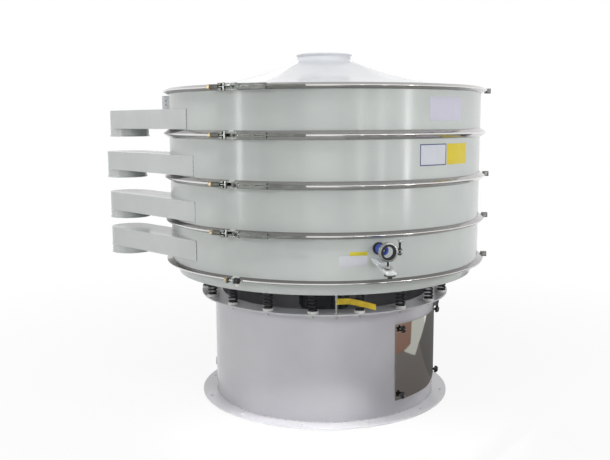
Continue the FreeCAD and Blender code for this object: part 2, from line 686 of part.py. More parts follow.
def draw_link(ring):
    """Draw bolt with its sleeve, and the twin-rod yoke that pulls it."""
    pin, fork = link_line(ring)
    away = (fork - pin).normalize()
    rod_rise = PIVOT_LUG_HALF + 2 * SIDE_GAP + CHEEK_THICK + YOKE_EYE_HALF
    pin_half = rod_rise + YOKE_EYE_HALF
    head_near = fork - away * (FORK_LENGTH / 2 + YOKE_HEAD_GAP)
    seat = fork + away * (FORK_LENGTH / 2 + FORK_SEAT_GAP)
    sleeve_end = seat + away * SLEEVE_LENGTH
    tail = sleeve_end + away * (LATCH_NUT_LENGTH + BOLT_TAIL)
    head_half = DRAW_BOLT_RADIUS + YOKE_HEAD_MARGIN
    head_top = pin_half + YOKE_HEAD_MARGIN
    head = block(-head_half, head_half, -YOKE_HEAD_LENGTH, 0, -head_top, head_top)
    head.rotate(Vector(), UP, math.degrees(math.atan2(-away.x, away.y)))
    head.translate(head_near)
    pieces = [
        head,
        rod(DRAW_BOLT_RADIUS, head_near - away * (YOKE_HEAD_LENGTH / 2), tail),
        rod(SLEEVE_RADIUS, seat, sleeve_end),
        Part.makeCylinder(PIVOT_RADIUS, 2 * pin_half, pin - UP * pin_half),
    ]
    head_middle = head_near - away * (YOKE_HEAD_LENGTH / 2)
    for rise in (-rod_rise, rod_rise):
        pieces.append(rod(YOKE_ROD_RADIUS, pin + UP * rise, head_middle + UP * rise))
        eye = pin + UP * (rise - YOKE_EYE_HALF)
        pieces.append(Part.makeCylinder(PIVOT_RADIUS + YOKE_EYE_WALL, 2 * YOKE_EYE_HALF, eye))
    return joined(pieces)


def latch_nut(ring):
    """Hexagon nut that sets the draw bolt's pull."""
    pin, fork = link_line(ring)
    away = (fork - pin).normalize()
    start = fork + away * (FORK_LENGTH / 2 + FORK_SEAT_GAP + SLEEVE_LENGTH)
    end = start + away * LATCH_NUT_LENGTH
    return hexagon(LATCH_NUT_FLATS, start, end).cut(rod(DRAW_BOLT_RADIUS, start, end))


# --- screens, gaskets, lowest deck and table -------------------------------------------------

def screen_rings():
    """Flat rings that carry the mesh of decks 1 to 3."""
    half = SCREEN_RING_HEIGHT / 2
    middles = [ring_z(ring) for ring in SCREEN_RINGS]
    return [hoop(SCREEN_RING_INNER, SCREEN_RING_OUTER, z - half, z + half) for z in middles]


def screen_meshes():
    """Tensioned mesh of decks 1 to 3."""
    low = MESH_THICK / 2
    return [Part.makeCylinder(SCREEN_RING_INNER, MESH_THICK, UP * (ring_z(k) - low)) for k in SCREEN_RINGS]


def gaskets():
    """Flat rubber rings, one in each plain joint and two round each screen's ring."""
    solids = []
    for ring in range(1, RING_COUNT + 1):
        middle = ring_z(ring)
        half = RING_GAP[ring - 1] / 2
        if ring in SCREEN_RINGS:
            filled = SCREEN_RING_HEIGHT / 2
            solids.append(hoop(SHELL_INNER, SCREEN_RING_OUTER, middle - half, middle - filled))
            solids.append(hoop(SHELL_INNER, SCREEN_RING_OUTER, middle + filled, middle + half))
        else:
            solids.append(hoop(SHELL_INNER, SCREEN_RING_OUTER, middle - half, middle + half))
    return solids


def discharge_dome():
    """Domed floor of the lowest frame, which sends fines out to the spout."""
    edge = (SHELL_INNER, LOWEST_RING_Z + DOME_EDGE_RISE)
    crown = DOME_CROWN_RISE - DOME_EDGE_RISE
    radius = (edge[0] ** 2 + crown ** 2) / (2 * crown)
    centre = UP * (LOWEST_RING_Z + DOME_CROWN_RISE - radius)
    shell = Part.makeSphere(radius, centre).cut(Part.makeSphere(radius - DOME_WALL, centre))
    return shell.common(Part.makeCylinder(SHELL_INNER, DOME_CROWN_RISE, UP * (edge[1] - DOME_WALL)))


def cup(angle, floor_z, side):
    """Spring cup that opens upwards (side 1) or downwards (side -1), drilled for its bolt."""
    inside = CUP_RADIUS - CUP_WALL
    walls = [(SPRING_BOLT_RADIUS, 0), (CUP_RADIUS, 0), (CUP_RADIUS, CUP_HEIGHT),
             (inside, CUP_HEIGHT), (inside, CUP_FLOOR), (SPRING_BOLT_RADIUS, CUP_FLOOR)]
    shape = spun([(radius, side * rise) for radius, rise in walls])
    shape.translate(plan_point(SPRING_CIRCLE, angle, 0, floor_z))
    return shape


def vibrating_table():
    """Table under the sieve stack: clamped rim, upright lip and drilled plate."""
    flange = flange_corners(RING_COUNT, -1)
    rim_low = flange[2][1] - TABLE_RIM_DROP
    inner = TABLE_LIP_RADIUS - TABLE_PLATE
    outline = flange + [
        (SHELL_RADIUS, rim_low), (TABLE_LIP_RADIUS, rim_low), (TABLE_LIP_RADIUS, TABLE_BOTTOM_Z),
        (TABLE_BORE_RADIUS, TABLE_BOTTOM_Z), (TABLE_BORE_RADIUS, TABLE_TOP_Z), (inner, TABLE_TOP_Z),
        (inner, flange[0][1]),
    ]
    table = spun(outline)
    for angle in [k * 360.0 / MOTOR_BOLT_COUNT for k in range(MOTOR_BOLT_COUNT)]:
        low = plan_point(MOTOR_BOLT_CIRCLE, angle, 0, TABLE_BOTTOM_Z)
        table = table.cut(Part.makeCylinder(MOTOR_BOLT_RADIUS, TABLE_PLATE, low))
    return table


def cups(floor_z, side):
    """Ring of spring cups on the top flange (side 1) or under the table (side -1)."""
    return around(SPRING_COUNT, SPRING_FIRST_ANGLE, lambda angle: cup(angle, floor_z, side))


def springs():
    """Compression springs between the lower and the upper cups."""
    low = BASE_HEIGHT + CUP_FLOOR + SPRING_SEAT_GAP
    high = TABLE_BOTTOM_Z - CUP_FLOOR - SPRING_SEAT_GAP
    rise = high - low - 2 * SPRING_WIRE_RADIUS
    helix = Part.makeHelix(rise / SPRING_TURNS, rise, SPRING_RADIUS)
    start = Vector(SPRING_RADIUS, 0, 0)
    section = Part.Wire([Part.makeCircle(SPRING_WIRE_RADIUS, start, Vector(0, 1, 0))])
    coil = Part.Wire(helix.Edges).makePipeShell([section], True, True)

    def one(angle):
        copy = coil.copy()
        copy.translate(plan_point(SPRING_CIRCLE, angle, 0, low + SPRING_WIRE_RADIUS))
        return copy
    return around(SPRING_COUNT, SPRING_FIRST_ANGLE, one)


# --- vibration motor -------------------------------------------------------------------------

def motor_body():
    """Ribbed motor housing hung from the table by its flange, bored for the shaft."""
    body = [Part.makeCylinder(MOTOR_RADIUS, MOTOR_LENGTH, UP * MOTOR_BOTTOM_Z)]
    body.append(Part.makeCylinder(MOTOR_FLANGE_RADIUS, MOTOR_FLANGE_THICK, UP * TABLE_TOP_Z))
    rib_low, rib_high = MOTOR_BOTTOM_Z + WEIGHT_THICK, TABLE_BOTTOM_Z - WEIGHT_THICK
    reach = MOTOR_RADIUS + MOTOR_FIN_REACH
    half = MOTOR_FIN_THICK / 2
    for k in range(MOTOR_FIN_COUNT):
        rib = block(MOTOR_RADIUS - half, reach, -half, half, rib_low, rib_high)
        body.append(stand(rib, k * 360.0 / MOTOR_FIN_COUNT))
    shape = joined(body)
    height = MOTOR_LENGTH + MOTOR_FLANGE_THICK
    shape = shape.cut(Part.makeCylinder(SHAFT_RADIUS + RUNNING_CLEARANCE, height, UP * MOTOR_BOTTOM_Z))
    for k in range(MOTOR_BOLT_COUNT):
        low = plan_point(MOTOR_BOLT_CIRCLE, k * 360.0 / MOTOR_BOLT_COUNT, 0, TABLE_TOP_Z)
        shape = shape.cut(Part.makeCylinder(MOTOR_BOLT_RADIUS, MOTOR_FLANGE_THICK, low))
    return shape


def motor_bolts():
    """Bolts and nuts that hold the motor to the table."""
    top = TABLE_TOP_Z + MOTOR_FLANGE_THICK
    solids = []
    for k in range(MOTOR_BOLT_COUNT):
        def at(height, angle=k * 360.0 / MOTOR_BOLT_COUNT):
            return plan_point(MOTOR_BOLT_CIRCLE, angle, 0, height)
        nut_low = TABLE_BOTTOM_Z - MOTOR_BOLT_HEAD
        shank = rod(MOTOR_BOLT_RADIUS, at(nut_low - BOLT_TAIL), at(top))
        head = hexagon(MOTOR_BOLT_FLATS, at(top), at(top + MOTOR_BOLT_HEAD))
        solids.append(joined([shank, head]))
        solids.append(hexagon(MOTOR_BOLT_FLATS, at(nut_low), at(TABLE_BOTTOM_Z)).cut(shank))
    return solids


def weight(bottom, bore):
    """Eccentric weight: a sector of plate on a round hub."""
    sector = hoop(bore, WEIGHT_RADIUS, bottom, bottom + WEIGHT_THICK, -WEIGHT_SPAN / 2, WEIGHT_SPAN)
    hub = hoop(bore, WEIGHT_HUB_RADIUS, bottom, bottom + WEIGHT_THICK)
    return joined([sector, hub])


def lower_weight_z():
    """Underside of the fixed lower weight."""
    return MOTOR_BOTTOM_Z - WEIGHT_STANDOFF - WEIGHT_THICK


def rotor():
    """Motor shaft with the upper weight and the fixed lower weight keyed to it."""
    top = TABLE_TOP_Z + MOTOR_FLANGE_THICK
    low = MOTOR_BOTTOM_Z - SHAFT_OVERHANG
    shaft = Part.makeCylinder(SHAFT_RADIUS, top + WEIGHT_STANDOFF + WEIGHT_THICK - low, UP * low)
    return [shaft, weight(top + WEIGHT_STANDOFF, SHAFT_RADIUS), weight(lower_weight_z(), SHAFT_RADIUS)]


def lead_weight():
    """Turnable lower weight, whose lead angle sets the path of the product."""
    return weight(lower_weight_z() - WEIGHT_THICK - SIDE_GAP, SHAFT_RADIUS + RUNNING_CLEARANCE)


# --- base ------------------------------------------------------------------------------------

def drum():
    """Base cylinder with the door's opening, the studs for its knobs and two bosses."""
    shape = hoop(DRUM_RADIUS - DRUM_WALL, DRUM_RADIUS, FLANGE_THICK, FLANGE_UNDERSIDE_Z)
    lap = math.degrees(DOOR_LAP / DRUM_RADIUS)
    opening = hoop(DRUM_RADIUS - 2 * DRUM_WALL, DRUM_RADIUS + DRUM_WALL, DOOR_BOTTOM_Z + DOOR_LAP,
                   DOOR_TOP_Z - DOOR_LAP, DOOR_START_ANGLE + lap, DOOR_END_ANGLE - DOOR_START_ANGLE - 2 * lap)
    shape = shape.cut(opening)
    for angle in BOSS_ANGLES:
        start = plan_point(DRUM_RADIUS - DRUM_WALL, angle, 0, BOSS_Z)
        shape = shape.fuse(rod(BOSS_RADIUS, start, plan_point(DRUM_RADIUS + BOSS_REACH, angle, 0, BOSS_Z)))
    for foot in stud_feet():
        shape = shape.fuse(rod(STUD_RADIUS, foot - door_way() * STUD_ROOT, foot + door_way() * STUD_LENGTH))
    return shape.removeSplitter()


def door_way():
    """Direction in which the door lifts off."""
    return plan_point(1.0, DOOR_MIDDLE_ANGLE)


def stud_feet():
    """Points on the drum where the door's four studs stand."""
    inset = math.degrees(KNOB_INSET / DRUM_RADIUS)
    feet = []
    for height in (DOOR_BOTTOM_Z + KNOB_INSET, DOOR_TOP_Z - KNOB_INSET):
        for angle in (DOOR_START_ANGLE + inset, DOOR_END_ANGLE - inset):
            feet.append(plan_point(DRUM_RADIUS, angle, 0, height))
    return feet


def stud_holes():
    """Drills for the door's studs, along the door's way off."""
    reach = door_way() * STUD_LENGTH
    return [rod(STUD_RADIUS + HOLE_CLEARANCE, foot - reach, foot + reach) for foot in stud_feet()]


def door():
    """Curved access door on the outside of its seal."""
    inner = DRUM_RADIUS + SEAL_THICK + SEAL_GAP
    shape = hoop(inner, inner + DOOR_WALL, DOOR_BOTTOM_Z, DOOR_TOP_Z, DOOR_START_ANGLE,
                 DOOR_END_ANGLE - DOOR_START_ANGLE)
    return shape.cut(stud_holes())


def door_seal():
    """Rubber frame between the drum and the door."""
    inset = math.degrees(SEAL_INSET / DRUM_RADIUS)
    lap = math.degrees(DOOR_LAP / DRUM_RADIUS)
    span = DOOR_END_ANGLE - DOOR_START_ANGLE
    outer = DRUM_RADIUS + SEAL_THICK
    shape = hoop(DRUM_RADIUS, outer, DOOR_BOTTOM_Z + SEAL_INSET, DOOR_TOP_Z - SEAL_INSET,
                 DOOR_START_ANGLE + inset, span - 2 * inset)
    window = hoop(DRUM_RADIUS - DRUM_WALL, outer + DRUM_WALL, DOOR_BOTTOM_Z + DOOR_LAP, DOOR_TOP_Z - DOOR_LAP,
                  DOOR_START_ANGLE + lap, span - 2 * lap)
    return shape.cut([window] + stud_holes())


def door_knob(foot):
    """Star knob on a stud, with a plain neck that stands clear of the curved door."""
    way = door_way()
    skin = SEAL_THICK + SEAL_GAP + DOOR_WALL
    lean = math.radians((DOOR_END_ANGLE - DOOR_START_ANGLE) / 2)
    seat = foot + way * ((skin + KNOB_NECK_RADIUS * math.sin(lean)) / math.cos(lean) + SIDE_GAP)
    star = seat + way * KNOB_NECK_LENGTH
    top = star + way * KNOB_THICK
    pieces = [rod(KNOB_NECK_RADIUS, seat, star), rod(KNOB_RADIUS - KNOB_LOBE_RADIUS, star, top)]
    side = UP.cross(way)
    for k in range(KNOB_LOBES):
        turn = 2 * math.pi * k / KNOB_LOBES
        shift = (UP * math.cos(turn) + side * math.sin(turn)) * (KNOB_RADIUS - KNOB_LOBE_RADIUS)
        pieces.append(rod(KNOB_LOBE_RADIUS, star + shift, top + shift))
    bore = rod(STUD_RADIUS + RUNNING_CLEARANCE, seat, foot + way * (STUD_LENGTH + STUD_BORE_DEPTH))
    return joined(pieces).cut(bore)


def flange_holes(count, first, circle, radius, low):
    """Drills through a base flange."""
    def one(angle):
        return Part.makeCylinder(radius, FLANGE_THICK, plan_point(circle, angle, 0, low))
    return around(count, first, one)


def top_flange():
    """Flange that carries the springs, drilled for their bolts and the transport stud."""
    low = FLANGE_UNDERSIDE_Z
    shape = hoop(FLANGE_INNER_RADIUS, TOP_FLANGE_RADIUS, low, BASE_HEIGHT)
    holes = flange_holes(SPRING_COUNT, SPRING_FIRST_ANGLE, SPRING_CIRCLE, SPRING_BOLT_RADIUS, low)
    holes += flange_holes(1, TRANSPORT_ANGLE, TRANSPORT_CIRCLE, TRANSPORT_RADIUS, low)
    return shape.cut(holes)


def floor_flange():
    """Flange that stands on the floor, drilled for the anchor bolts."""
    shape = hoop(FLANGE_INNER_RADIUS, FLOOR_FLANGE_RADIUS, 0, FLANGE_THICK)
    return shape.cut(flange_holes(ANCHOR_COUNT, ANCHOR_FIRST_ANGLE, ANCHOR_CIRCLE, ANCHOR_HOLE_RADIUS, 0))


def spring_bolts():
    """Bolts that hold the lower cups, with their nuts under the flange."""
    solids = []
    for k in range(SPRING_COUNT):
        def at(height, angle=SPRING_FIRST_ANGLE + k * 360.0 / SPRING_COUNT):
            return plan_point(SPRING_CIRCLE, angle, 0, height)
        head_low = BASE_HEIGHT + CUP_FLOOR
        shank = rod(SPRING_BOLT_RADIUS, at(FLANGE_UNDERSIDE_Z - SPRING_BOLT_TAIL), at(head_low))
        head = rod(2 * SPRING_BOLT_RADIUS, at(head_low), at(head_low + SPRING_BOLT_HEAD_HEIGHT))
        solids.append(joined([shank, head]))
        nut_low = at(FLANGE_UNDERSIDE_Z - SPRING_NUT_HEIGHT)
        solids.append(hexagon(SPRING_NUT_FLATS, nut_low, at(FLANGE_UNDERSIDE_Z)).cut(shank))
    return solids


def transport_stud():
    """Stud that is screwed up against the table for transport, with its nut under the flange."""
    def at(height):
        return plan_point(TRANSPORT_CIRCLE, TRANSPORT_ANGLE, 0, height)
    low = FLANGE_UNDERSIDE_Z - SPRING_BOLT_TAIL
    bar = rod(TRANSPORT_RADIUS, at(low), at(TABLE_BOTTOM_Z - TRANSPORT_GAP))
    nut = hexagon(TRANSPORT_NUT_FLATS, at(FLANGE_UNDERSIDE_Z - SPRING_NUT_HEIGHT), at(FLANGE_UNDERSIDE_Z))
    return [bar, nut.cut(bar)]


def transport_tag():
    """Blank tag wrapped round the transport stud, with a tail that droops in front of the springs."""
    low = BASE_HEIGHT + TAG_BOTTOM_RISE
    wrap = hoop(TRANSPORT_RADIUS, TRANSPORT_RADIUS + TAG_WALL, low, low + TAG_WIDTH)
    level = TAG_LEVEL_LENGTH
    tip = level + TAG_TAIL_LENGTH
    corners = [(0, 0), (level, 0), (tip, -TAG_TAIL_DROP), (tip, TAG_WIDTH - TAG_TAIL_DROP),
               (level, TAG_WIDTH), (0, TAG_WIDTH), (0, 0)]
    points = [Vector(TRANSPORT_RADIUS, along, low + rise) for along, rise in corners]
    tail = Part.Face(Part.makePolygon(points)).extrude(Vector(TAG_WALL, 0, 0))
    tag = stand(wrap.fuse(tail), TRANSPORT_ANGLE + TAG_SWING)
    tag.translate(plan_point(TRANSPORT_CIRCLE, TRANSPORT_ANGLE))
    return tag.removeSplitter()


# --- motor cable -----------------------------------------------------------------------------

def cable_end_z():
    """Height at which the cable goes through the drum."""
    return FLANGE_UNDERSIDE_Z - GLAND_REACH - CABLE_DROP - CABLE_BEND


def cable_circle():
    """Radius from the machine axis at which the cable hangs."""
    return DRUM_RADIUS + GLAND_REACH + CABLE_BEND


def motor_cable():
    """Cable from the gland under the flange, down and round into the gland on the drum."""
    bend_centre = Vector(cable_circle() - CABLE_BEND, 0, cable_end_z() + CABLE_BEND)
    top = Vector(cable_circle(), 0, FLANGE_UNDERSIDE_Z - GLAND_REACH)
    bend_top = bend_centre + Vector(CABLE_BEND, 0, 0)
    slope = math.sqrt(0.5) * CABLE_BEND
    bend_middle = bend_centre + Vector(slope, 0, -slope)
    bend_end = bend_centre - UP * CABLE_BEND
    run = Part.LineSegment(top, bend_top).toShape()
    path = Part.Wire([run, Part.Arc(bend_top, bend_middle, bend_end).toShape()])
    section = Part.Wire([Part.makeCircle(CABLE_RADIUS, top, UP)])
    cable = path.makePipeShell([section], True, False)
    share = cable.Volume / (math.pi * CABLE_RADIUS ** 2 * path.Length)
    print("cable: bend radius %.0f, length %.0f, volume ratio %.4f" % (CABLE_BEND, path.Length, share))
    return stand(cable, CABLE_ANGLE)


def terminal_box():
    """Terminal box on the drum, and the two glands of the motor cable."""
    half = BOX_WIDTH / 2
    lap = half + BOX_LID_LAP
    front = DRUM_RADIUS + BOX_DEPTH
    top = BOX_BOTTOM_Z + BOX_HEIGHT
    drum_skin = Part.makeCylinder(DRUM_RADIUS, BASE_HEIGHT)
    body = block(DRUM_RADIUS - DRUM_WALL, front - BOX_LID, -half, half, BOX_BOTTOM_Z, top).cut(drum_skin)
    lid = block(front - BOX_LID, front, -lap, lap, BOX_BOTTOM_Z - BOX_LID_LAP, top + BOX_LID_LAP)
    flange_face = Vector(cable_circle(), 0, FLANGE_UNDERSIDE_Z)
    hanging = rod(GLAND_RADIUS, flange_face - UP * GLAND_REACH, flange_face)
    wall_face = Vector(DRUM_RADIUS - DRUM_WALL, 0, cable_end_z())
    outer_face = Vector(DRUM_RADIUS + GLAND_REACH, 0, cable_end_z())
    standing = rod(GLAND_RADIUS, wall_face, outer_face).cut(drum_skin)
    return [stand(body.fuse(lid), BOX_ANGLE), stand(hanging, CABLE_ANGLE), stand(standing, CABLE_ANGLE)]


# --- hose port, clip and bracket -------------------------------------------------------------

def port_line(reach_from, reach_to, radius):
    """Round bar along the port's axis between two distances outside the shell."""
    start = plan_point(SHELL_RADIUS + reach_from, PORT_ANGLE, 0, PORT_Z)
    return rod(radius, start, plan_point(SHELL_RADIUS + reach_to, PORT_ANGLE, 0, PORT_Z))


def port_ring():
    """Rubber collar round the root of the hose port."""
    collar = port_line(-SHELL_WALL, PORT_RING_THICK, PORT_RING_RADIUS)
    tube = port_line(-SHELL_WALL, PORT_TUBE_REACH, PORT_TUBE_RADIUS)
    tube_bore = port_line(-2 * SHELL_WALL, PORT_TUBE_REACH, PORT_TUBE_RADIUS - SHELL_WALL)
    outside = collar.cut(Part.makeCylinder(SHELL_RADIUS, 2 * PORT_Z))
    return outside.fuse(tube).cut(tube_bore).removeSplitter()


def port_cap():
    """Blue cap that closes the hose port."""
    shell_gap = PORT_RING_THICK + FIT_GAP
    body = port_line(shell_gap, shell_gap + CAP_LENGTH, CAP_RADIUS)
    socket = port_line(shell_gap, PORT_TUBE_REACH + FIT_GAP, PORT_TUBE_RADIUS + RUNNING_CLEARANCE)
    recess_start = shell_gap + CAP_LENGTH - CAP_RECESS_DEPTH
    recess = port_line(recess_start, shell_gap + CAP_LENGTH, CAP_RECESS_RADIUS)
    return body.cut([socket, recess])


def bracket_top_z(reach):
    """Height of the bracket's upper face at a distance outside the shell."""
    return BRACKET_ROOT_Z - reach * math.tan(math.radians(BRACKET_DROP))


def clip_bracket():
    """Tapered plate that slopes out from the shell to carry the hose clip."""
    root, end = BRACKET_ROOT_WIDTH / 2, BRACKET_END_WIDTH / 2
    slope = bracket_top_z(BRACKET_LENGTH) - BRACKET_ROOT_Z
    inner, outer = SHELL_RADIUS - SHELL_WALL, SHELL_RADIUS + BRACKET_LENGTH
    rise = SHELL_WALL * math.tan(math.radians(BRACKET_DROP))
    points = [Vector(inner, -root, BRACKET_ROOT_Z + rise), Vector(outer, -end, BRACKET_ROOT_Z + slope),
              Vector(outer, end, BRACKET_ROOT_Z + slope), Vector(inner, root, BRACKET_ROOT_Z + rise)]
    plate = Part.Face(Part.makePolygon(points + points[:1])).extrude(Vector(0, 0, -BRACKET_THICK))
    plate = plate.cut(Part.makeCylinder(SHELL_RADIUS, 2 * PORT_Z))
    return stand(plate, PORT_ANGLE)


def hose_clip():
    """Hose clip: lined ring, two ears with their screw, and the stud that stands on the bracket."""
    middle = SHELL_RADIUS + CLIP_REACH
    back = Vector(middle - CLIP_WIDTH / 2, 0, PORT_Z)
    front = Vector(middle + CLIP_WIDTH / 2, 0, PORT_Z)
    strap_in = CLIP_OUTER_RADIUS - CLIP_STRAP
    ring = rod(CLIP_OUTER_RADIUS, back, front).cut(rod(strap_in, back, front))
    liner = rod(strap_in, back, front).cut(rod(CLIP_INNER_RADIUS, back, front))
    pieces = [ring]
    x_from, x_to = middle - CLIP_WIDTH / 2, middle + CLIP_WIDTH / 2
    ear_tip = CLIP_OUTER_RADIUS + CLIP_EAR_LENGTH
    for low in (PORT_Z - CLIP_EAR_SPREAD, PORT_Z + CLIP_EAR_SPREAD - CLIP_EAR_THICK):
        pieces.append(block(x_from, x_to, CLIP_OUTER_RADIUS - CLIP_STRAP, ear_tip, low, low + CLIP_EAR_THICK))
    screw_y = ear_tip - CLIP_EAR_LENGTH / 2
    screw_low = Vector(middle, screw_y, PORT_Z - 2 * CLIP_EAR_SPREAD)
    screw_top = Vector(middle, screw_y, PORT_Z + CLIP_SCREW_RISE)
    pieces.append(rod(CLIP_SCREW_RADIUS, screw_low, screw_top))
    pieces.append(hexagon(CLIP_HEAD_FLATS, screw_top, screw_top + UP * CLIP_HEAD_HEIGHT))
    stud_low = Vector(middle, 0, bracket_top_z(CLIP_REACH) - BRACKET_THICK / 2)
    pieces.append(rod(CLIP_STUD_RADIUS, stud_low, Vector(middle, 0, PORT_Z - strap_in - CLIP_STRAP / 2)))
    nut_low = Vector(middle, 0, bracket_top_z(CLIP_REACH - CLIP_NUT_FLATS))
    pieces.append(hexagon(CLIP_NUT_FLATS, nut_low, nut_low + UP * CLIP_NUT_HEIGHT))
    plate = clip_bracket()
    return [stand(joined(pieces), PORT_ANGLE).cut(plate), stand(liner, PORT_ANGLE)]


def buffer_bolt():
    """Round buffer with its bolt and nut under the end of the bracket."""
    reach = BRACKET_LENGTH - BUFFER_INSET
    x = SHELL_RADIUS + reach
    top = bracket_top_z(reach + BUFFER_RADIUS) - BRACKET_THICK
    buffer_top, buffer_low = Vector(x, 0, top), Vector(x, 0, top - BUFFER_THICK)
    neck = rod(SPRING_BOLT_RADIUS, buffer_low, Vector(x, 0, bracket_top_z(reach) - BRACKET_THICK / 2))
    pad = rod(BUFFER_RADIUS, buffer_low, buffer_top)
    nut = hexagon(BUFFER_NUT_FLATS, buffer_low - UP * BUFFER_NUT_HEIGHT, buffer_low)
    return stand(joined([pad, neck, nut]), PORT_ANGLE).cut(clip_bracket())


# --- side lug and plates ---------------------------------------------------------------------

def side_lug():
    """Upright lug on the top frame with two bolts through it."""
    top = ring_z(1) - SIDE_LUG_DROP
    low = top - SIDE_LUG_HEIGHT
    half = SIDE_LUG_THICK / 2
    lug = block(SHELL_INNER, SHELL_RADIUS + SIDE_LUG_REACH, -half, half, low, top)
    lug = lug.cut(Part.makeCylinder(SHELL_RADIUS, 2 * top))
    x = SHELL_RADIUS + SIDE_LUG_REACH / 2
    middle = (low + top) / 2
    bolts = []
    for rise in (-SIDE_LUG_BOLT_SPREAD / 2, SIDE_LUG_BOLT_SPREAD / 2):
        start = Vector(x, -SIDE_LUG_THICK, middle + rise)
        end = Vector(x, SIDE_LUG_THICK, middle + rise)
        bolts.append(rod(SIDE_LUG_BOLT_RADIUS, start, end))
    return stand(joined([lug] + bolts), SIDE_LUG_ANGLE)


def blank_plates():
    """Thin blank plates stuck on the frames."""
    outer = SHELL_RADIUS + PLATE_THICK
    zero = LOWEST_RING_Z
    return [hoop(SHELL_RADIUS, outer, zero + low, zero + high, start, end - start)
            for start, end, low, high in PLATES]


def main():
    os.makedirs("parts", exist_ok=True)
    for frame in range(1, FRAME_COUNT + 1):
        save("frame_%d" % frame, frame_shell(frame))
        save("spout_%d" % frame, spout(frame))
    save("cover", cover())
    for ring in range(1, RING_COUNT + 1):
        save("band_%d" % ring, band(ring))
    save("stack_bolts", stack_bolts())
    save("clamp_bolt", clamp_bolt())
    for ring in range(1, LATCH_COUNT + 1):
        save("latch_lever_%d" % ring, lever(ring))
        save("draw_link_%d" % ring, draw_link(ring))
        save("latch_nut_%d" % ring, latch_nut(ring))
    save("screen_rings", screen_rings())
    save("screen_meshes", screen_meshes())
    save("gaskets", gaskets())
    save("discharge_dome", discharge_dome())
    save("vibrating_table", vibrating_table())
    save("upper_cups", cups(TABLE_BOTTOM_Z, -1))
    save("springs", springs())
    save("motor_body", motor_body())
    save("rotor", rotor())
    save("lead_weight", lead_weight())
    save("base_drum", drum())
    save("top_flange", top_flange())
    save("floor_flange", floor_flange())
    save("spring_cups", cups(BASE_HEIGHT, 1))
    save("spring_bolts", spring_bolts())
    save("door", door())
    save("door_seal", door_seal())
    for number, foot in enumerate(stud_feet(), 1):
        save("door_knob_%d" % number, door_knob(foot))
    save("transport_stud", transport_stud())
    save("transport_tag", transport_tag())
    save("motor_cable", motor_cable())
    save("terminal_box", terminal_box())
    save("port_ring", port_ring())
    save("port_cap", port_cap())
    save("hose_clip", hose_clip())
    save("clip_bracket", clip_bracket())
    save("buffer_bolt", buffer_bolt())
    save("side_lug", side_lug())
    save("blank_plates", blank_plates())


main()
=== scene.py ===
# %% [markdown]
# # A round vibrating sieve
# Flour, sugar or powder falls into the neck of this machine. A vertical motor with unbalanced weights
# shakes a stack of screens on springs, and each size of grain leaves by its own spout. The exact solids
# come from the CAD frame. This notebook dresses them: it rebuilds the visible sheet metal with rounded
# edges and weld beads, and gives every surface a finish that is worked out from real sizes.

import bpy
import numpy as np
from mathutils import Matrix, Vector


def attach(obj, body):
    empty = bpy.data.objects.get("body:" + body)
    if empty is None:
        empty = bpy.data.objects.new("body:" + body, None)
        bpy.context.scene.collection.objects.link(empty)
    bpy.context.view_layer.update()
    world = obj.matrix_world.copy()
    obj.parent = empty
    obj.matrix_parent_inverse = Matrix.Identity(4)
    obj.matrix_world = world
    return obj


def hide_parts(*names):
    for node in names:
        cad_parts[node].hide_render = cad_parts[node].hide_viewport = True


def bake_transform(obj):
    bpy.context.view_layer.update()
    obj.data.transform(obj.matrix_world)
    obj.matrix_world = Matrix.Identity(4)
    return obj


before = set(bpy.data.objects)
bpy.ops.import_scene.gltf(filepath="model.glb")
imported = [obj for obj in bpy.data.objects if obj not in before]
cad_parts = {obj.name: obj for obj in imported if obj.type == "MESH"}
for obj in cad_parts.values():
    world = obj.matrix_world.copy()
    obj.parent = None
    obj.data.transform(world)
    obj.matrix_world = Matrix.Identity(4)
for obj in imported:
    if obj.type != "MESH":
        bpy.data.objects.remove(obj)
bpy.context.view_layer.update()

# %% [markdown]
# ## The camera
# The machine is looked at by a standing person, 4.6 m in front of the axis and with the eye 1.6 m above
# the floor. A short lens close by would bulge the drum. This one, 46 mm behind a frame 36 mm wide, makes
# the lines that meet in perspective meet where they do on the real machine.

# %% Camera
MM = 0.001                       # every size below is in millimetres and becomes metres in the mesh
EYE = (0.0, -4.64272, 1.60498)
EYE_TILT, EYE_ROLL, EYE_TURN = 82.042, -0.248, 1.417     # degrees
LENS_WIDTH, LENS_LENGTH = 36.0, 46.022


def add_camera():
    """Camera at the eye, tilted about X, then turned about Z, with a small roll about its own axis."""
    lens = bpy.data.cameras.new("eye")
    lens.sensor_width, lens.lens = LENS_WIDTH, LENS_LENGTH
    lens.clip_end = 100.0
    camera = bpy.data.objects.new("eye", lens)
    bpy.context.scene.collection.objects.link(camera)
    tilt, roll, turn = np.radians([EYE_TILT, EYE_ROLL, EYE_TURN])
    camera.rotation_mode = "XYZ"
    camera.location, camera.rotation_euler = EYE, (tilt, 0.0, turn)
    camera.rotation_euler.rotate_axis("Z", roll)
    bpy.context.scene.camera = camera
    return camera


camera = add_camera()
print("camera", [round(v, 3) for v in camera.location], "lens", LENS_LENGTH, "mm")

# %% [markdown]
# ## Points of a round machine
# Nearly everything here stands on a circle, so a place is given as a plan angle (0 towards the operator,
# growing to the operator's right), a radius, a shift along the rim and a height.

# %% Places and outlines
def place(angle, radius, along=0.0, height=0.0):
    """outward * radius + rimward * along + up * height, with outward = (sin a, -cos a, 0) and
    rimward = (cos a, sin a, 0)."""
    angle, radius, along, height = np.broadcast_arrays(np.radians(angle), radius, along, height)
    sine, cosine = np.sin(angle), np.cos(angle)
    return np.stack([sine * radius + cosine * along, sine * along - cosine * radius, height * 1.0], -1)


def stand(points, angle):
    """Local points, x outward, y along the rim and z up, turned to a plan angle."""
    return place(angle, points[..., 0], points[..., 1], points[..., 2])


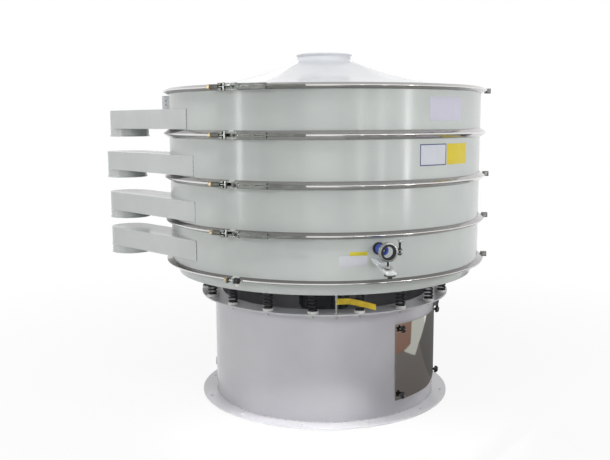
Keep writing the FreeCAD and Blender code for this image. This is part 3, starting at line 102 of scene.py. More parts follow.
def posed(points, origin, x_axis, y_axis, z_axis):
    """origin + x * x_axis + y * y_axis + z * z_axis."""
    return np.asarray(origin) + points @ np.array([x_axis, y_axis, z_axis], float)


def rounded(corners, radius, steps=4):
    """Closed outline whose corner B is a curve (1-t)^2 A + 2t(1-t) B + t^2 C, with A and C at the
    radius from B on its two sides, or at 0.45 of a side that is too short."""
    corner = np.asarray(corners, float)
    reach = np.broadcast_to(radius, len(corner)).reshape(-1, 1)
    before, after = np.roll(corner, 1, 0) - corner, np.roll(corner, -1, 0) - corner
    before_long = np.linalg.norm(before, axis=1, keepdims=True)
    after_long = np.linalg.norm(after, axis=1, keepdims=True)
    a = (corner + before * np.minimum(reach / before_long, 0.45))[:, None]
    c = (corner + after * np.minimum(reach / after_long, 0.45))[:, None]
    t = np.linspace(0, 1, steps + 1)[None, :, None]
    return ((1 - t) ** 2 * a + 2 * t * (1 - t) * corner[:, None] + t ** 2 * c).reshape(-1, 2)


def rectangle(x_from, x_to, y_from, y_to, radius):
    """Rounded rectangle, run anticlockwise."""
    return rounded([(x_from, y_from), (x_to, y_from), (x_to, y_to), (x_from, y_to)], radius)


def shrunk(outline, distance):
    """Anticlockwise outline moved inwards along its normals, which are its turned tangents."""
    tangent = np.roll(outline, -1, 0) - np.roll(outline, 1, 0)
    normal = np.stack([tangent[:, 1], -tangent[:, 0]], -1)
    return outline - normal / np.linalg.norm(normal, axis=1, keepdims=True) * distance


print("a corner of 5 mm:", rounded([(0, 0), (20, 0), (20, 20), (0, 20)], 5)[:3].round(2).tolist())

# %% [markdown]
# ## Solids from loops
# Each solid is a row of closed loops with skin between neighbours. A loop can be a section that walks
# round the machine, a circle that walks along a bolt, or an outline that rises and rounds its own edge.
# The faces come from index arithmetic, and the sign of the volume tells whether to turn them over.

# %% Solids
def skin(loops, ring=False):
    """Solid of points[row, column]: each row a closed loop. Quads join neighbouring loops, and flat caps
    close the ends unless the rows go round in a ring. Volume = sum of a . (b x c) / 6."""
    rows, columns = loops.shape[:2]
    row, column = np.meshgrid(np.arange(rows - (not ring)), np.arange(columns), indexing="ij")
    row_next, column_next = (row + 1) % rows, (column + 1) % columns
    quads = np.stack([row * columns + column, row_next * columns + column,
                      row_next * columns + column_next, row * columns + column_next], -1).reshape(-1, 4)
    caps = [] if ring else [np.arange(columns)[::-1], np.arange(columns) + (rows - 1) * columns]
    points = loops.reshape(-1, 3)
    faces = [quads] + [cap[None] for cap in caps]
    if volume(points, faces) < 0:
        faces = [group[:, ::-1] for group in faces]
    return points, faces


def volume(points, faces):
    """Signed volume of a closed skin, from fans of triangles about each face's first corner."""
    centre = points - points.mean(0)
    total = 0.0
    for group in faces:
        first, second, third = centre[group[:, :1]], centre[group[:, 1:-1]], centre[group[:, 2:]]
        total += (first * np.cross(second, third)).sum() / 6
    return total


def spun(profile, start=0.0, end=360.0, step=1.5):
    """Section of (radius, height) carried round the axis from one plan angle to another."""
    ring = end - start >= 360.0
    count = int(np.ceil((end - start) / step)) + (not ring)
    angle = np.linspace(start, end, count, endpoint=not ring)[:, None]
    return skin(place(angle, profile[None, :, 0], 0.0, profile[None, :, 1]), ring)


def axes_along(start, end):
    """Unit vectors across and along a line; the first one is level where it can be."""
    along = (end - start) / np.linalg.norm(end - start)
    helper = np.array([0.0, 0.0, 1.0]) if abs(along[2]) < 0.9 else np.array([0.0, 1.0, 0.0])
    across = np.cross(helper, along)
    across /= np.linalg.norm(across)
    return across, np.cross(along, across), along


def turned(profile, start, end, bored=False, sides=40):
    """Profile of (radius, distance) turned about the line from start to end. Each profile point is one
    circle; a bored profile is closed and leaves the axis open."""
    profile = np.asarray(profile, float)
    t = np.linspace(0, 2 * np.pi, sides, endpoint=False)
    radius, distance = profile[:, :1], profile[:, 1:]
    local = np.stack([radius * np.cos(t), radius * np.sin(t), distance + 0 * t], -1)
    return skin(posed(local, start, *axes_along(np.asarray(start, float), np.asarray(end, float))), bored)


def bar(radius, start, end, edge=1.0, sides=32):
    """Round bar with a rounded edge at each end: radius - edge (1 - sin t) at edge (1 - cos t)."""
    start, end = np.asarray(start, float), np.asarray(end, float)
    long = np.linalg.norm(end - start)
    edge = min(edge, radius * 0.98, long * 0.45)
    t = np.linspace(0, np.pi / 2, 4 if edge < radius / 2 else 8)
    lower = np.stack([radius - edge * (1 - np.sin(t)), edge * (1 - np.cos(t))], -1)
    upper = np.stack([lower[::-1, 0], long - lower[::-1, 1]], -1)
    return turned(np.concatenate([lower, upper]), start, end, sides=sides)


def hexagon(flats, start, end, chamfer=0.06):
    """Nut or bolt head: at each angle the smaller of the hexagon's reach, half flats / cos(a), and a
    cone of 30 degrees that cuts its corners at both faces."""
    start, end = np.asarray(start, float), np.asarray(end, float)
    long = np.linalg.norm(end - start)
    t = np.linspace(0, 2 * np.pi, 72, endpoint=False)
    reach = flats / 2 / np.cos((t + np.pi / 6) % (np.pi / 3) - np.pi / 6)
    drop = flats * chamfer
    distance = np.array([0.0, drop / 2, drop, long - drop, long - drop / 2, long])[:, None]
    from_face = np.minimum(distance, long - distance)
    radius = np.minimum(reach, flats / 2 * 0.97 + from_face / np.tan(np.radians(30)) * 1.05)
    local = np.stack([radius * np.cos(t), radius * np.sin(t), distance + 0 * t], -1)
    return skin(posed(local, start, *axes_along(start, end)))


def slab(outline, low, high, edge=1.5):
    """Anticlockwise outline raised from low to high, its rims rounded by a quarter circle."""
    edge = min(edge, (high - low) * 0.45)
    t = np.linspace(0, np.pi / 2, 4)
    inset = np.concatenate([edge * (1 - np.sin(t)), edge * (1 - np.sin(t[::-1]))])
    height = np.concatenate([low + edge * (1 - np.cos(t)), high - edge * (1 - np.cos(t[::-1]))])
    rows = [np.column_stack([shrunk(outline, i), np.full(len(outline), h)]) for i, h in zip(inset, height)]
    return skin(np.stack(rows))


def swept(path, section):
    """Section of (side, up) carried along a path: side = up x tangent, both square to the tangent."""
    path = np.asarray(path, float)
    tangent = np.gradient(path, axis=0)
    tangent /= np.linalg.norm(tangent, axis=1, keepdims=True)
    helper = np.array([0.0, 0.0, 1.0]) if np.abs(tangent[:, 2]).max() < 0.9 else np.array([0.6, 0.8, 0.0])
    side = np.cross(helper, tangent)
    side /= np.linalg.norm(side, axis=1, keepdims=True)
    up = np.cross(tangent, side)
    return skin(path[:, None] + section[None, :, :1] * side[:, None] + section[None, :, 1:] * up[:, None])


def circle(radius, sides=12):
    """Closed circle of (radius cos t, radius sin t)."""
    t = np.linspace(0, 2 * np.pi, sides, endpoint=False)
    return radius * np.stack([np.cos(t), np.sin(t)], -1)


def moved(part, change):
    """The same faces on points that a function moves."""
    points, faces = part
    return change(points), faces


print("litres in a 100 mm ball of 20 mm bar:", round(volume(*bar(10, (0, 0, 0), (0, 0, 100))) / 1e6, 4))

# %% [markdown]
# ## Putting a piece in the scene
# One helper turns the arrays into a mesh, shades it smooth except across real corners, names the finish
# and the body it moves with, and hides the plain CAD solids that it stands for. Pieces stay at the
# origin, unturned, so that a pattern in object coordinates is a pattern in real space.

# %% Pieces
def add_piece(name, parts, finish, body, stands_for=(), corner=32.0, bends=()):
    """One mesh from a list of (points, faces) in millimetres, with its finish, body and CAD nodes. A piece
    given bends is fixed in place and attached to no body; the second body and heights in bends are not used."""
    points, faces, count = [], [], 0
    for part_points, part_faces in parts:
        faces += sum(((group + count).tolist() for group in part_faces), [])
        points.append(part_points)
        count += len(part_points)
    mesh = bpy.data.meshes.new(name)
    mesh.from_pydata(np.concatenate(points) * MM, [], faces)
    mesh.shade_smooth()
    mesh.set_sharp_from_angle(angle=np.radians(corner))
    mesh.materials.append(finish)
    obj = bpy.data.objects.new(name, mesh)
    bpy.context.scene.collection.objects.link(obj)
    if bends:
        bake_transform(obj)
    else:
        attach(obj, body)
    if stands_for:
        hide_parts(*stands_for)
    made[name] = len(faces)
    return obj


made = {}

# %% [markdown]
# ## Finishes
# Every finish starts from the real one: powder coat, polished stainless, zinc, brass, enamel, rubber and
# moulded plastic. Colours are written as on a colour card and turned to linear light by one function.
# Patterns are in object coordinates, with their sizes in millimetres.

# %% Colour and node helpers
def linear(code):
    """Colour card code to linear light: c / 12.92 up to 0.04045, above it ((c + 0.055) / 1.055) ^ 2.4."""
    card = np.array([int(code[i:i + 2], 16) for i in (0, 2, 4)]) / 255
    light = np.where(card <= 0.04045, card / 12.92, ((card + 0.055) / 1.055) ** 2.4)
    return (*light.tolist(), 1.0)


def add_node(tree, kind, inputs=(), **settings):
    """Adds one node. Settings are its own properties; inputs are socket values, or other nodes' output
    sockets, which are then linked."""
    node = tree.nodes.new("ShaderNode" + kind)
    for name, value in settings.items():
        setattr(node, name, value)
    for name, value in dict(inputs).items():
        if isinstance(value, bpy.types.NodeSocket):
            tree.links.new(value, node.inputs[name])
        else:
            node.inputs[name].default_value = value
    return node


def new_finish(name, slot, **sockets):
    """Material with a Principled shader, whose plain values are set on its sockets; returns the material,
    its node tree, the shader and the socket that gives the point in metres."""
    finish = bpy.data.materials.new(name)
    finish.use_nodes = True
    finish["slot"] = slot
    tree = finish.node_tree
    shader = tree.nodes["Principled BSDF"]
    for socket, value in sockets.items():
        shader.inputs[socket.replace("_", " ")].default_value = value
    return finish, tree, shader, add_node(tree, "TexCoord").outputs["Object"]


print("white on the card 'eeeeee' is", round(linear("eeeeee")[0], 3), "in linear light")

# %% [markdown]
# ### Coated, moulded and cast surfaces
# Powder coat flows into a skin with a faint orange peel, moulded plastic copies the spark-eroded mould,
# and rubber is dull. All of them are one tone that drifts slightly over patches as wide as a hand, a
# grain of a millimetre or less, and a gloss that changes where hands and dust have been. The finest
# grain is drawn at 2 to 3 mm, because a finer one is lost at viewing distance.

# %% Grained finishes
def grained(name, slot, light, dark, patch, grain, depth, gloss, **sockets):
    """Colour drifts from light to dark over patches; roughness drifts between the two gloss values; bumps
    of the grain's width rise by the depth. Sizes in millimetres."""
    finish, tree, shader, point = new_finish(name, slot, **sockets)
    clouds = add_node(tree, "TexNoise", {"Vector": point, "Scale": 1000 / patch, "Detail": 3.0})
    tone = add_node(tree, "ValToRGB", {"Fac": clouds.outputs["Fac"]})
    tone.color_ramp.elements[0].position, tone.color_ramp.elements[0].color = 0.35, linear(dark)
    tone.color_ramp.elements[1].position, tone.color_ramp.elements[1].color = 0.65, linear(light)
    tree.links.new(tone.outputs["Color"], shader.inputs["Base Color"])
    skin_gloss = add_node(tree, "MapRange", {"Value": clouds.outputs["Fac"], "From Min": 0.3, "From Max": 0.7,
                                             "To Min": gloss[0], "To Max": gloss[1]})
    tree.links.new(skin_gloss.outputs["Result"], shader.inputs["Roughness"])
    peel = add_node(tree, "TexNoise", {"Vector": point, "Scale": 1000 / grain, "Detail": 2.0})
    bump = add_node(tree, "Bump", {"Height": peel.outputs["Fac"], "Distance": depth * MM, "Strength": 1.0})
    tree.links.new(bump.outputs["Normal"], shader.inputs["Normal"])
    return finish


WHITE, GREY, STEEL = "white_powder_coat", "grey_plastic", "zinc_steel"      # slots that several share
# The cover, frames, spouts, base and floor flange are one white powder coat. The frames, spouts and base take
# darker, tinted copies of it, a painted shade for how light falls on their upright walls.
COVER_COAT = grained("powder_coat_cover", WHITE, "e4e6ea", "dcdfe3", 260, 3.0, 0.010, (0.12, 0.18))
FRAME_COAT_PAINTED_SHADE = grained("powder_coat_frames_painted_shade", WHITE, "cbd0cd", "c3c8c6", 300, 3.0, 0.012, (0.14, 0.22))
SPOUT_COAT_PAINTED_SHADE = grained("powder_coat_spouts_painted_shade", WHITE, "ccd0cf", "c5c9c8", 220, 3.0, 0.012, (0.14, 0.22))
BASE_COAT_PAINTED_SHADE = grained("powder_coat_base_painted_shade", WHITE, "cac9ce", "c2c1c7", 340, 3.0, 0.012, (0.16, 0.24))
# Painted light: the floor flange takes a lighter copy of the base coat, so that it looks lit although the
# stack above shades it.
FLANGE_COAT_PAINTED_LIGHT = grained("powder_coat_flange_painted_light", WHITE, "edecf0", "e6e5e9", 340, 3.0, 0.012, (0.16, 0.24))
WELD_COAT = grained("coated_weld", WHITE, "d2d4d4", "bcc0bf", 12, 3.5, 0.25, (0.2, 0.35))
CUP_NYLON = grained("moulded_nylon", GREY, "dcdcda", "cccdca", 18, 2.0, 0.02, (0.35, 0.5))
KNOB_PLASTIC = grained("moulded_phenolic", "black_plastic", "18181a", "0e0e10", 15, 2.0, 0.02, (0.25, 0.4))
CAP_PLASTIC = grained("moulded_blue_polythene", "blue_plastic", "3c56b0", "2c4298", 24, 2.0, 0.03,
                      (0.3, 0.42))
RUBBER = grained("nitrile_rubber", "black_rubber", "1e1e1f", "131314", 20, 2.0, 0.04, (0.45, 0.65))
SPRING_SHEATH = grained("rubber_clad_spring", "spring_steel_black", "131416", "09090b", 25, 2.5, 0.03,
                        (0.3, 0.45))
MOTOR_PAINT = grained("cast_iron_paint", GREY, "6b7073", "5d6265", 30, 2.5, 0.12, (0.4, 0.55))
BALL_PLASTIC = grained("moulded_white_ball", GREY, "e6e6e2", "d8d8d3", 12, 2.0, 0.01, (0.25, 0.35))
TAG_VINYL = grained("yellow_vinyl", "yellow_plastic", "d8bd2c", "c8a91c", 40, 2.5, 0.05, (0.35, 0.5))
ZINC = grained("zinc_plated_steel", STEEL, "b4b6b2", "8f928f", 30, 2.2, 0.01, (0.22, 0.32), Metallic=1.0)
LATCH_STEEL = grained("passivated_cast_steel", STEEL, "8c8f8a", "767974", 60, 2.4, 0.01, (0.28, 0.38),
                      Metallic=1.0)
SLEEVE_STEEL = grained("phosphated_steel", STEEL, "6f706a", "5a5b55", 30, 2.0, 0.01, (0.35, 0.45),
                       Metallic=1.0)
DARK_STEEL = grained("oiled_steel", STEEL, "4a4b4c", "313233", 16, 2.0, 0.03, (0.3, 0.45), Metallic=1.0)
BRASS = grained("turned_brass", "brass", "cfbb9a", "b9a27c", 12, 2.0, 0.01, (0.22, 0.34), Metallic=1.0)
print("grained finishes:", len(bpy.data.materials))

# %% [markdown]
# ### Stainless steel, brushed round the machine
# The bands and the door are rolled stainless, polished along the rim. The wheel leaves fine lines that
# run round the machine, so the pattern is read at (angle, radius, height) and stretched along the angle.
# The lines are a tenth of a millimetre on the real band and 1.5 mm here. A slow wave, as wide as a hand,
# makes the reflections wander as they do on rolled sheet.

# %% Brushed finishes
LINE_RUN = 60.0                  # a line is about so many times as long as it is wide


def brushed(name, slot, light, dark, painted_shade_tone, line, depth, wave, wave_depth, gloss):
    """Noise at (angle / LINE_RUN, radius, height) gives the lines, a slower noise the wave. Faces that
    look up or down are mixed towards a darker tone, a painted shade that stands in for the dark room they
    would reflect."""
    finish, tree, shader, point = new_finish(name, slot, Metallic=1.0)
    part = add_node(tree, "SeparateXYZ", {"Vector": point})
    turn = add_node(tree, "Math", {0: part.outputs["Y"], 1: part.outputs["X"]}, operation="ARCTAN2")
    flat = add_node(tree, "VectorMath", {0: point, 1: (1.0, 1.0, 0.0)}, operation="MULTIPLY")
    reach = add_node(tree, "VectorMath", {0: flat.outputs["Vector"]}, operation="LENGTH")
    short = add_node(tree, "Math", {0: turn.outputs["Value"], 1: 1.0 / LINE_RUN}, operation="MULTIPLY")
    unrolled = add_node(tree, "CombineXYZ", {"X": short.outputs["Value"], "Y": reach.outputs["Value"],
                                             "Z": part.outputs["Z"]})
    lines = add_node(tree, "TexNoise", {"Vector": unrolled.outputs["Vector"], "Scale": 1000 / line,
                                        "Detail": 3.0})
    slow = add_node(tree, "TexNoise", {"Vector": point, "Scale": 1000 / wave, "Detail": 1.0})
    tone = add_node(tree, "Mix", {0: lines.outputs["Fac"], 6: linear(dark), 7: linear(light)},
                    data_type="RGBA")
    # Painted shade: the steeper a face looks up or down, the more it takes the darker tone.
    facing = add_node(tree, "SeparateXYZ", {"Vector": add_node(tree, "NewGeometry").outputs["Normal"]})
    steep = add_node(tree, "Math", {0: facing.outputs["Z"]}, operation="ABSOLUTE")
    painted_shade_mask = add_node(tree, "MapRange", {"Value": steep.outputs["Value"], "From Min": 0.6, "From Max": 0.95})
    shaded = add_node(tree, "Mix", {0: painted_shade_mask.outputs["Result"], 6: tone.outputs[2], 7: linear(painted_shade_tone)},
                      data_type="RGBA")
    tree.links.new(shaded.outputs[2], shader.inputs["Base Color"])
    dull = add_node(tree, "MapRange", {"Value": lines.outputs["Fac"], "From Min": 0.3, "From Max": 0.7,
                                       "To Min": gloss[0], "To Max": gloss[1]})
    tree.links.new(dull.outputs["Result"], shader.inputs["Roughness"])
    swell = add_node(tree, "Bump", {"Height": slow.outputs["Fac"], "Distance": wave_depth * MM,
                                    "Strength": 1.0})
    bump = add_node(tree, "Bump", {"Height": lines.outputs["Fac"], "Distance": depth * MM, "Strength": 1.0,
                                   "Normal": swell.outputs["Normal"]})
    tree.links.new(bump.outputs["Normal"], shader.inputs["Normal"])
    return finish


# The third colour of each steel is the painted shade of its faces that look up or down.
BAND_STEEL = brushed("polished_stainless", "polished_steel", "efeeed", "cfcecd", "8f8b89", 1.5, 0.002, 70,
                     1.6, (0.08, 0.16))
DOOR_STEEL = brushed("mirror_stainless", "polished_steel", "d8d5d1", "cfccc8", "b0ada8", 1.8, 0.0006, 200,
                     0.35, (0.03, 0.07))
SCREEN_STEEL = brushed("screen_ring_steel", "screen_steel", "c4c6c6", "9b9d9d", "8a8c8c", 1.6, 0.004, 60,
                       0.1, (0.25, 0.4))
print("brushed:", BAND_STEEL.name, DOOR_STEEL.name, SCREEN_STEEL.name)

# %% [markdown]
# ### Woven mesh
# The mesh of the decks is woven wire. Modelling each wire would take millions of faces, so two waves that
# cross give its over and under as a bump. Their humps stand 4 mm apart, far wider than the real half
# millimetre, because a finer weave is lost at viewing distance.

# %% Mesh
WEAVE_PITCH = 4.0


def woven_mesh():
    """Height = larger of |sin| along x and along y, one hump for each wire. The colour darkens towards
    the low points, a painted shade between the wires.
    """
    finish, tree, shader, point = new_finish("woven_stainless_mesh", "screen_steel", Metallic=1.0,
                                             Roughness=0.35)
    part = add_node(tree, "SeparateXYZ", {"Vector": point})
    waves = []
    for axis in "XY":
        phase = add_node(tree, "Math", {0: part.outputs[axis], 1: np.pi / (WEAVE_PITCH * MM)},
                         operation="MULTIPLY")
        sine = add_node(tree, "Math", {0: phase.outputs["Value"]}, operation="SINE")
        waves.append(add_node(tree, "Math", {0: sine.outputs["Value"]}, operation="ABSOLUTE"))
    weave = add_node(tree, "Math", {0: waves[0].outputs["Value"], 1: waves[1].outputs["Value"]},
                     operation="MAXIMUM")
    # Painted shade: the low points of the weave take the dark tone, the humps the light one.
    tone = add_node(tree, "Mix", {0: weave.outputs["Value"], 6: linear("5d5f60"), 7: linear("c3c6c7")},
                    data_type="RGBA")
    tree.links.new(tone.outputs[2], shader.inputs["Base Color"])
    bump = add_node(tree, "Bump", {"Height": weave.outputs["Value"], "Distance": 0.4 * MM})
    tree.links.new(bump.outputs["Normal"], shader.inputs["Normal"])
    return finish


MESH_WIRE = woven_mesh()
print("mesh pitch", WEAVE_PITCH, "mm; finishes so far:", len(bpy.data.materials))

# %% [markdown]
# ## The motor's cable
# A rubber-sheathed cable of 10 mm hangs from a gland under the top flange, falls under its own weight
# and turns into the drum through a second gland. A curve with one NURBS spline is the natural way: its
# control points are the corners of the route, and the spline rounds them as the stiff sheath does.

# %% Cable and strain reliefs
CABLE_ANGLE, CABLE_RADIUS = 99.5, 5.0
CABLE_ROUTE = place(CABLE_ANGLE, np.array([718.0, 718.0, 718.0, 668.0]), 0.0,
                    np.array([595.0, 516.0, 466.0, 466.0]))


def add_cable():
    """Curve of one open spline of order 3 through the route's corners, with a round bevel."""
    curve = bpy.data.curves.new("motor_cable_sheath", "CURVE")
    curve.dimensions, curve.resolution_u = "3D", 24
    curve.bevel_depth, curve.bevel_resolution, curve.use_fill_caps = CABLE_RADIUS * MM, 6, True
    spline = curve.splines.new("NURBS")
    spline.points.add(len(CABLE_ROUTE) - 1)
    spline.points.foreach_set("co", np.column_stack([CABLE_ROUTE * MM, np.ones(4)]).ravel())
    spline.order_u, spline.use_endpoint_u = 3, True
    curve.materials.append(RUBBER)
    cable = bpy.data.objects.new("motor_cable_sheath", curve)
    bpy.context.scene.collection.objects.link(cable)
    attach(cable, "base")
    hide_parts("motor_cable")
    return cable


cable = add_cable()
hang, enter = CABLE_ROUTE[0], CABLE_ROUTE[-1]
down, outward = np.array([0.0, 0.0, -1.0]), place(CABLE_ANGLE, 1.0)
relief = [(5.05, 0), (8.6, 0), (8.2, 6), (7.0, 16), (5.9, 24), (5.05, 24)]
boots = [turned(relief, end, end + way * 24, bored=True) for end, way in ((hang, down), (enter, outward))]
boot = add_piece("cable_strain_reliefs", boots, RUBBER, "base")
print("cable route corners, mm:", CABLE_ROUTE.round(0).tolist())

# %% [markdown]
# ## Sizes that the sheet metal shares
# The heights of the five clamp rings and the V section of a band set every frame, so they come first.

# %% Shared sizes
RING_Z = [1772.0, 1538.0, 1295.0, 1052.0, 818.0]
RING_GAP = [6.0, 16.0, 16.0, 16.0, 6.0]
BAND_HEIGHT = [31.0, 46.0, 42.0, 33.0, 24.0]
SHELL, WALL, NOSE = 900.0, 3.0, 933.0


def leg_radius(half, rise):
    """Inner radius of a band's leg: from 929.8 at a rise of 3 straight down to 901.5 at half height."""
    return 929.8 - 28.3 * (rise - 3.0) / (half - 3.0)


def clamped_flange(ring, side):
    """Rolled flange that a band draws in: face, back and shell corners, half a millimetre clear."""
    face, half, middle = RING_GAP[ring] / 2, BAND_HEIGHT[ring] / 2, RING_Z[ring]
    return [(leg_radius(half, face) - 0.5, middle + side * face),
            (leg_radius(half, half) - 0.5, middle + side * half), (SHELL, middle + side * half)]


def block(x_from, x_to, y_from, y_to, z_from, z_to, edge=1.2):
    """Local box with rounded corners and rims."""
    return slab(rectangle(x_from, x_to, y_from, y_to, edge), z_from, z_to, edge)


def at_angle(part, angle):
    """Local part turned to its plan angle."""
    return moved(part, lambda points: stand(points, angle))


print("flange of ring 2:", clamped_flange(1, 1))

# %% [markdown]
# ## Rolled shells with a window
# A frame is a strip of sheet rolled into a cylinder and welded, with a window cut for its spout, and the
# base drum is the same with a window behind the door. Away from the window the whole section is carried
# round; beside it only the part below and the part above. That leaves a real opening with no boolean.

# %% Shells with a window
def windowed(profile, low, high, start, end, wall_in, wall_out):
    """Section carried round from the window's end to its start; over the window, two sections that stop
    at its low and high edges. The profile runs anticlockwise, up the outside and down the inside."""
    outline = np.asarray(profile, float)
    below, above = outline[outline[:, 1] < low], outline[outline[:, 1] > high]
    lower = np.concatenate([below[below[:, 0] > wall_in + 0.1], [(wall_out, low), (wall_in, low)],
                            below[below[:, 0] <= wall_in + 0.1]])
    outer_first = above[above[:, 0] > wall_in + 0.1]
    upper = np.concatenate([[(wall_out, high)], outer_first, above[above[:, 0] <= wall_in + 0.1],
                            [(wall_in, high)]])
    return [spun(outline, end, start + 360.0), spun(lower, start, end), spun(upper, start, end)]


SPOUT_ANGLE = [-48.5, -46.3, -45.7, -43.9]
SPOUT_FLOOR = [RING_Z[k + 1] + rise for k, rise in enumerate([26.5, 26.0, 28.0, 56.5])]
SPOUT_REACH = [913.0, 924.0, 896.0, 871.0]
SPOUT_START = [70.0, 46.0, 46.0, 70.0]       # from the tangent point to the end of the near side
SPOUT_TALL = 107.0
SPOUT_FAR = 41.0                             # degrees from the tangent point to the far side
for number in range(4):
    lower, upper = clamped_flange(number + 1, 1), clamped_flange(number, -1)
    section = lower + upper[::-1] + [(SHELL - WALL, upper[0][1]), (SHELL - WALL, lower[0][1])]
    start = SPOUT_ANGLE[number] - SPOUT_FAR
    end = SPOUT_ANGLE[number] - np.degrees(SPOUT_START[number] / SHELL)
    floor = SPOUT_FLOOR[number]
    shell = windowed(section, floor + WALL, floor + SPOUT_TALL - WALL, start, end, SHELL - WALL, SHELL)
    add_piece("frame_shell_%d" % (number + 1), shell, FRAME_COAT_PAINTED_SHADE, "sieve_stack",
              ["frame_%d" % (number + 1)])
print("frames:", {k: v for k, v in made.items() if k.startswith("frame")})

# %% [markdown]
# ## Spouts
# A spout leaves its frame along a tangent: two flat plates, a wall bent round its end, and a round stub
# with a rolled lip underneath. The top and bottom plates are read at equal angles about the stub's axis,
# because from there every point of the plate's edge can be seen; so the bottom one can have its hole.

# %% Plates with one hole
def reach_of(outline, angles):
    """Distance from the origin to a closed outline along each angle: the farthest crossing of the ray
    with an edge A to B, at cross(A, B - A) / cross(direction, B - A)."""
    a, edge = outline, np.roll(outline, -1, 0) - outline
    ray = np.stack([np.cos(angles), np.sin(angles)], -1)[:, None]
    below = ray[..., 0] * edge[:, 1] - ray[..., 1] * edge[:, 0]
    below = np.where(np.abs(below) < 1e-9, 1e-9, below)
    distance = (a[:, 0] * edge[:, 1] - a[:, 1] * edge[:, 0]) / below
    share = (a[:, 0] * ray[..., 1] - a[:, 1] * ray[..., 0]) / below
    on_edge = (share > -1e-6) & (share < 1 + 1e-6) & (distance > 0)
    return np.where(on_edge, distance, 0).max(1)


def holed(outline, hole, low, high, ease=None):
    """Plate between two outlines, read at the angles of all their corners about the hole's middle. The
    ease function may pull the outer rim in at both faces."""
    outline, hole = np.asarray(outline, float), np.asarray(hole, float)
    middle = hole.mean(0)
    bearing = np.concatenate([np.arctan2(*(outline - middle).T[::-1]), np.arctan2(*(hole - middle).T[::-1])])
    angles = np.unique(np.round(bearing, 4))
    ray = np.stack([np.cos(angles), np.sin(angles)], -1)
    outer = middle + ray * reach_of(outline - middle, angles)[:, None]
    inner = middle + ray * reach_of(hole - middle, angles)[:, None]
    soft = outer if ease is None else ease(outer)
    step = 0.0 if ease is None else min(1.2, (high - low) / 3)
    rows = [(soft, low), (outer, low + step), (outer, high - step), (soft, high), (inner, high), (inner, low)]
    if ease is None:
        rows = [rows[0], rows[3], rows[4], rows[5]]
    return skin(np.stack([np.column_stack([xy, np.full(len(xy), z)]) for xy, z in rows]), ring=True)


print("square hole plate:", holed([(-9, -9), (9, -9), (9, 9), (-9, 9)], circle(4, 24), 0, 3)[0].shape)

# %% Spouts
OUTLET_X, OUTLET_R = 785.0, 115.0


def spout_wall_line(reach, begin, inset):
    """Line of the bent wall: from the shell down the near side, round the end, back up the far side."""
    turn = np.linspace(0, -np.pi, 41)
    radius = OUTLET_R - inset
    arc = np.stack([OUTLET_X + radius * np.cos(turn), radius * np.sin(turn) - reach], -1)
    near = np.array([(OUTLET_X + radius, -begin)])
    far_x = OUTLET_X - radius
    far = np.array([(far_x, -np.sqrt((SHELL - 1) ** 2 - far_x ** 2))])
    return np.concatenate([near, arc, far])


def spout(floor, reach, begin):
    """Bent wall, top plate, bottom plate with its hole, and stub with a rolled lip."""
    outer, inner = spout_wall_line(reach, begin, 0.0), spout_wall_line(reach, begin, WALL)
    edge_turn = np.linspace(np.arctan2(outer[-1, 1], outer[-1, 0]), np.arctan2(-begin, 897.0), 24)[1:-1]
    shell_edge = (SHELL - 0.5) * np.stack([np.cos(edge_turn), np.sin(edge_turn)], -1)
    plan = np.concatenate([outer, shell_edge])[::-1]
    top = floor + SPOUT_TALL
    wall = np.stack([np.column_stack([line, np.full(len(line), z)]) for line, z in
                     ((outer, floor + 2), (outer, top - 2), (inner, top - 2), (inner, floor + 2))], 1)
    lid = slab(plan, top - WALL, top, 1.4)
    centre = np.array([OUTLET_X, -reach])
    base = holed(plan, centre + circle(OUTLET_R - WALL, 72), floor, floor + WALL,
                 lambda xy: xy + (centre + [0, 300] - xy) * 0.002)
    lip = [(112, 51), (112, 1.6), (112.8, 0.4), (114, 0), (117.5, 0), (118.6, 0.8), (119, 2.2), (119, 5.8),
           (118.4, 7.2), (117, 8), (115, 8.6), (115, 46), (116.2, 47.4), (118.4, 48.4), (115, 51)]
    start = np.array([OUTLET_X, -reach, floor - 48.0])
    stub = turned(lip, start, start + [0, 0, 10], bored=True, sides=96)
    return [skin(wall), lid, base, stub]


def spout_welds(floor, begin):
    """Beads of 4 mm where the spout meets its frame: along the shell above and below, and up the near
    side."""
    turn = np.linspace(np.arctan2(-600.0, 672.0), np.arctan2(-begin - 4, 897.0), 60)
    ripple = 0.35 * np.sin(np.arange(len(turn)) * 2.2)
    edge = (SHELL + 0.6 + ripple)[:, None] * np.stack([np.cos(turn), np.sin(turn)], -1)
    rise = np.linspace(floor + 1, floor + SPOUT_TALL - 1, 14)
    near = np.column_stack([np.full(len(rise), SHELL + 0.4), np.full(len(rise), -begin), rise])
    beads = [np.column_stack([edge, np.full(len(edge), height)])
             for height in (floor + SPOUT_TALL + 0.6, floor - 0.6)]
    return [swept(bead, circle(2.2, 10)) for bead in beads + [near]]


for number, (angle, floor) in enumerate(zip(SPOUT_ANGLE, SPOUT_FLOOR), 1):
    reach, begin = SPOUT_REACH[number - 1], SPOUT_START[number - 1]
    sheet = [at_angle(part, angle) for part in spout(floor, reach, begin)]
    add_piece("spout_sheet_%d" % number, sheet, SPOUT_COAT_PAINTED_SHADE, "sieve_stack", ["spout_%d" % number])
    beads = [at_angle(part, angle) for part in spout_welds(floor, begin)]
    add_piece("spout_weld_%d" % number, beads, WELD_COAT, "sieve_stack", corner=60)
print("spouts:", {k: v for k, v in made.items() if k.startswith("spout")})

# %% [markdown]
# ## Cover
# The cover is spun sheet: one arc falls from the neck to the rim, flat at the rim and steep at the neck.
# The profile is that arc, a small fillet at the neck, the neck with its rolled lip and the same line back
# 3 mm inside. Carried round the axis, it is closed and needs no thickness modifier.

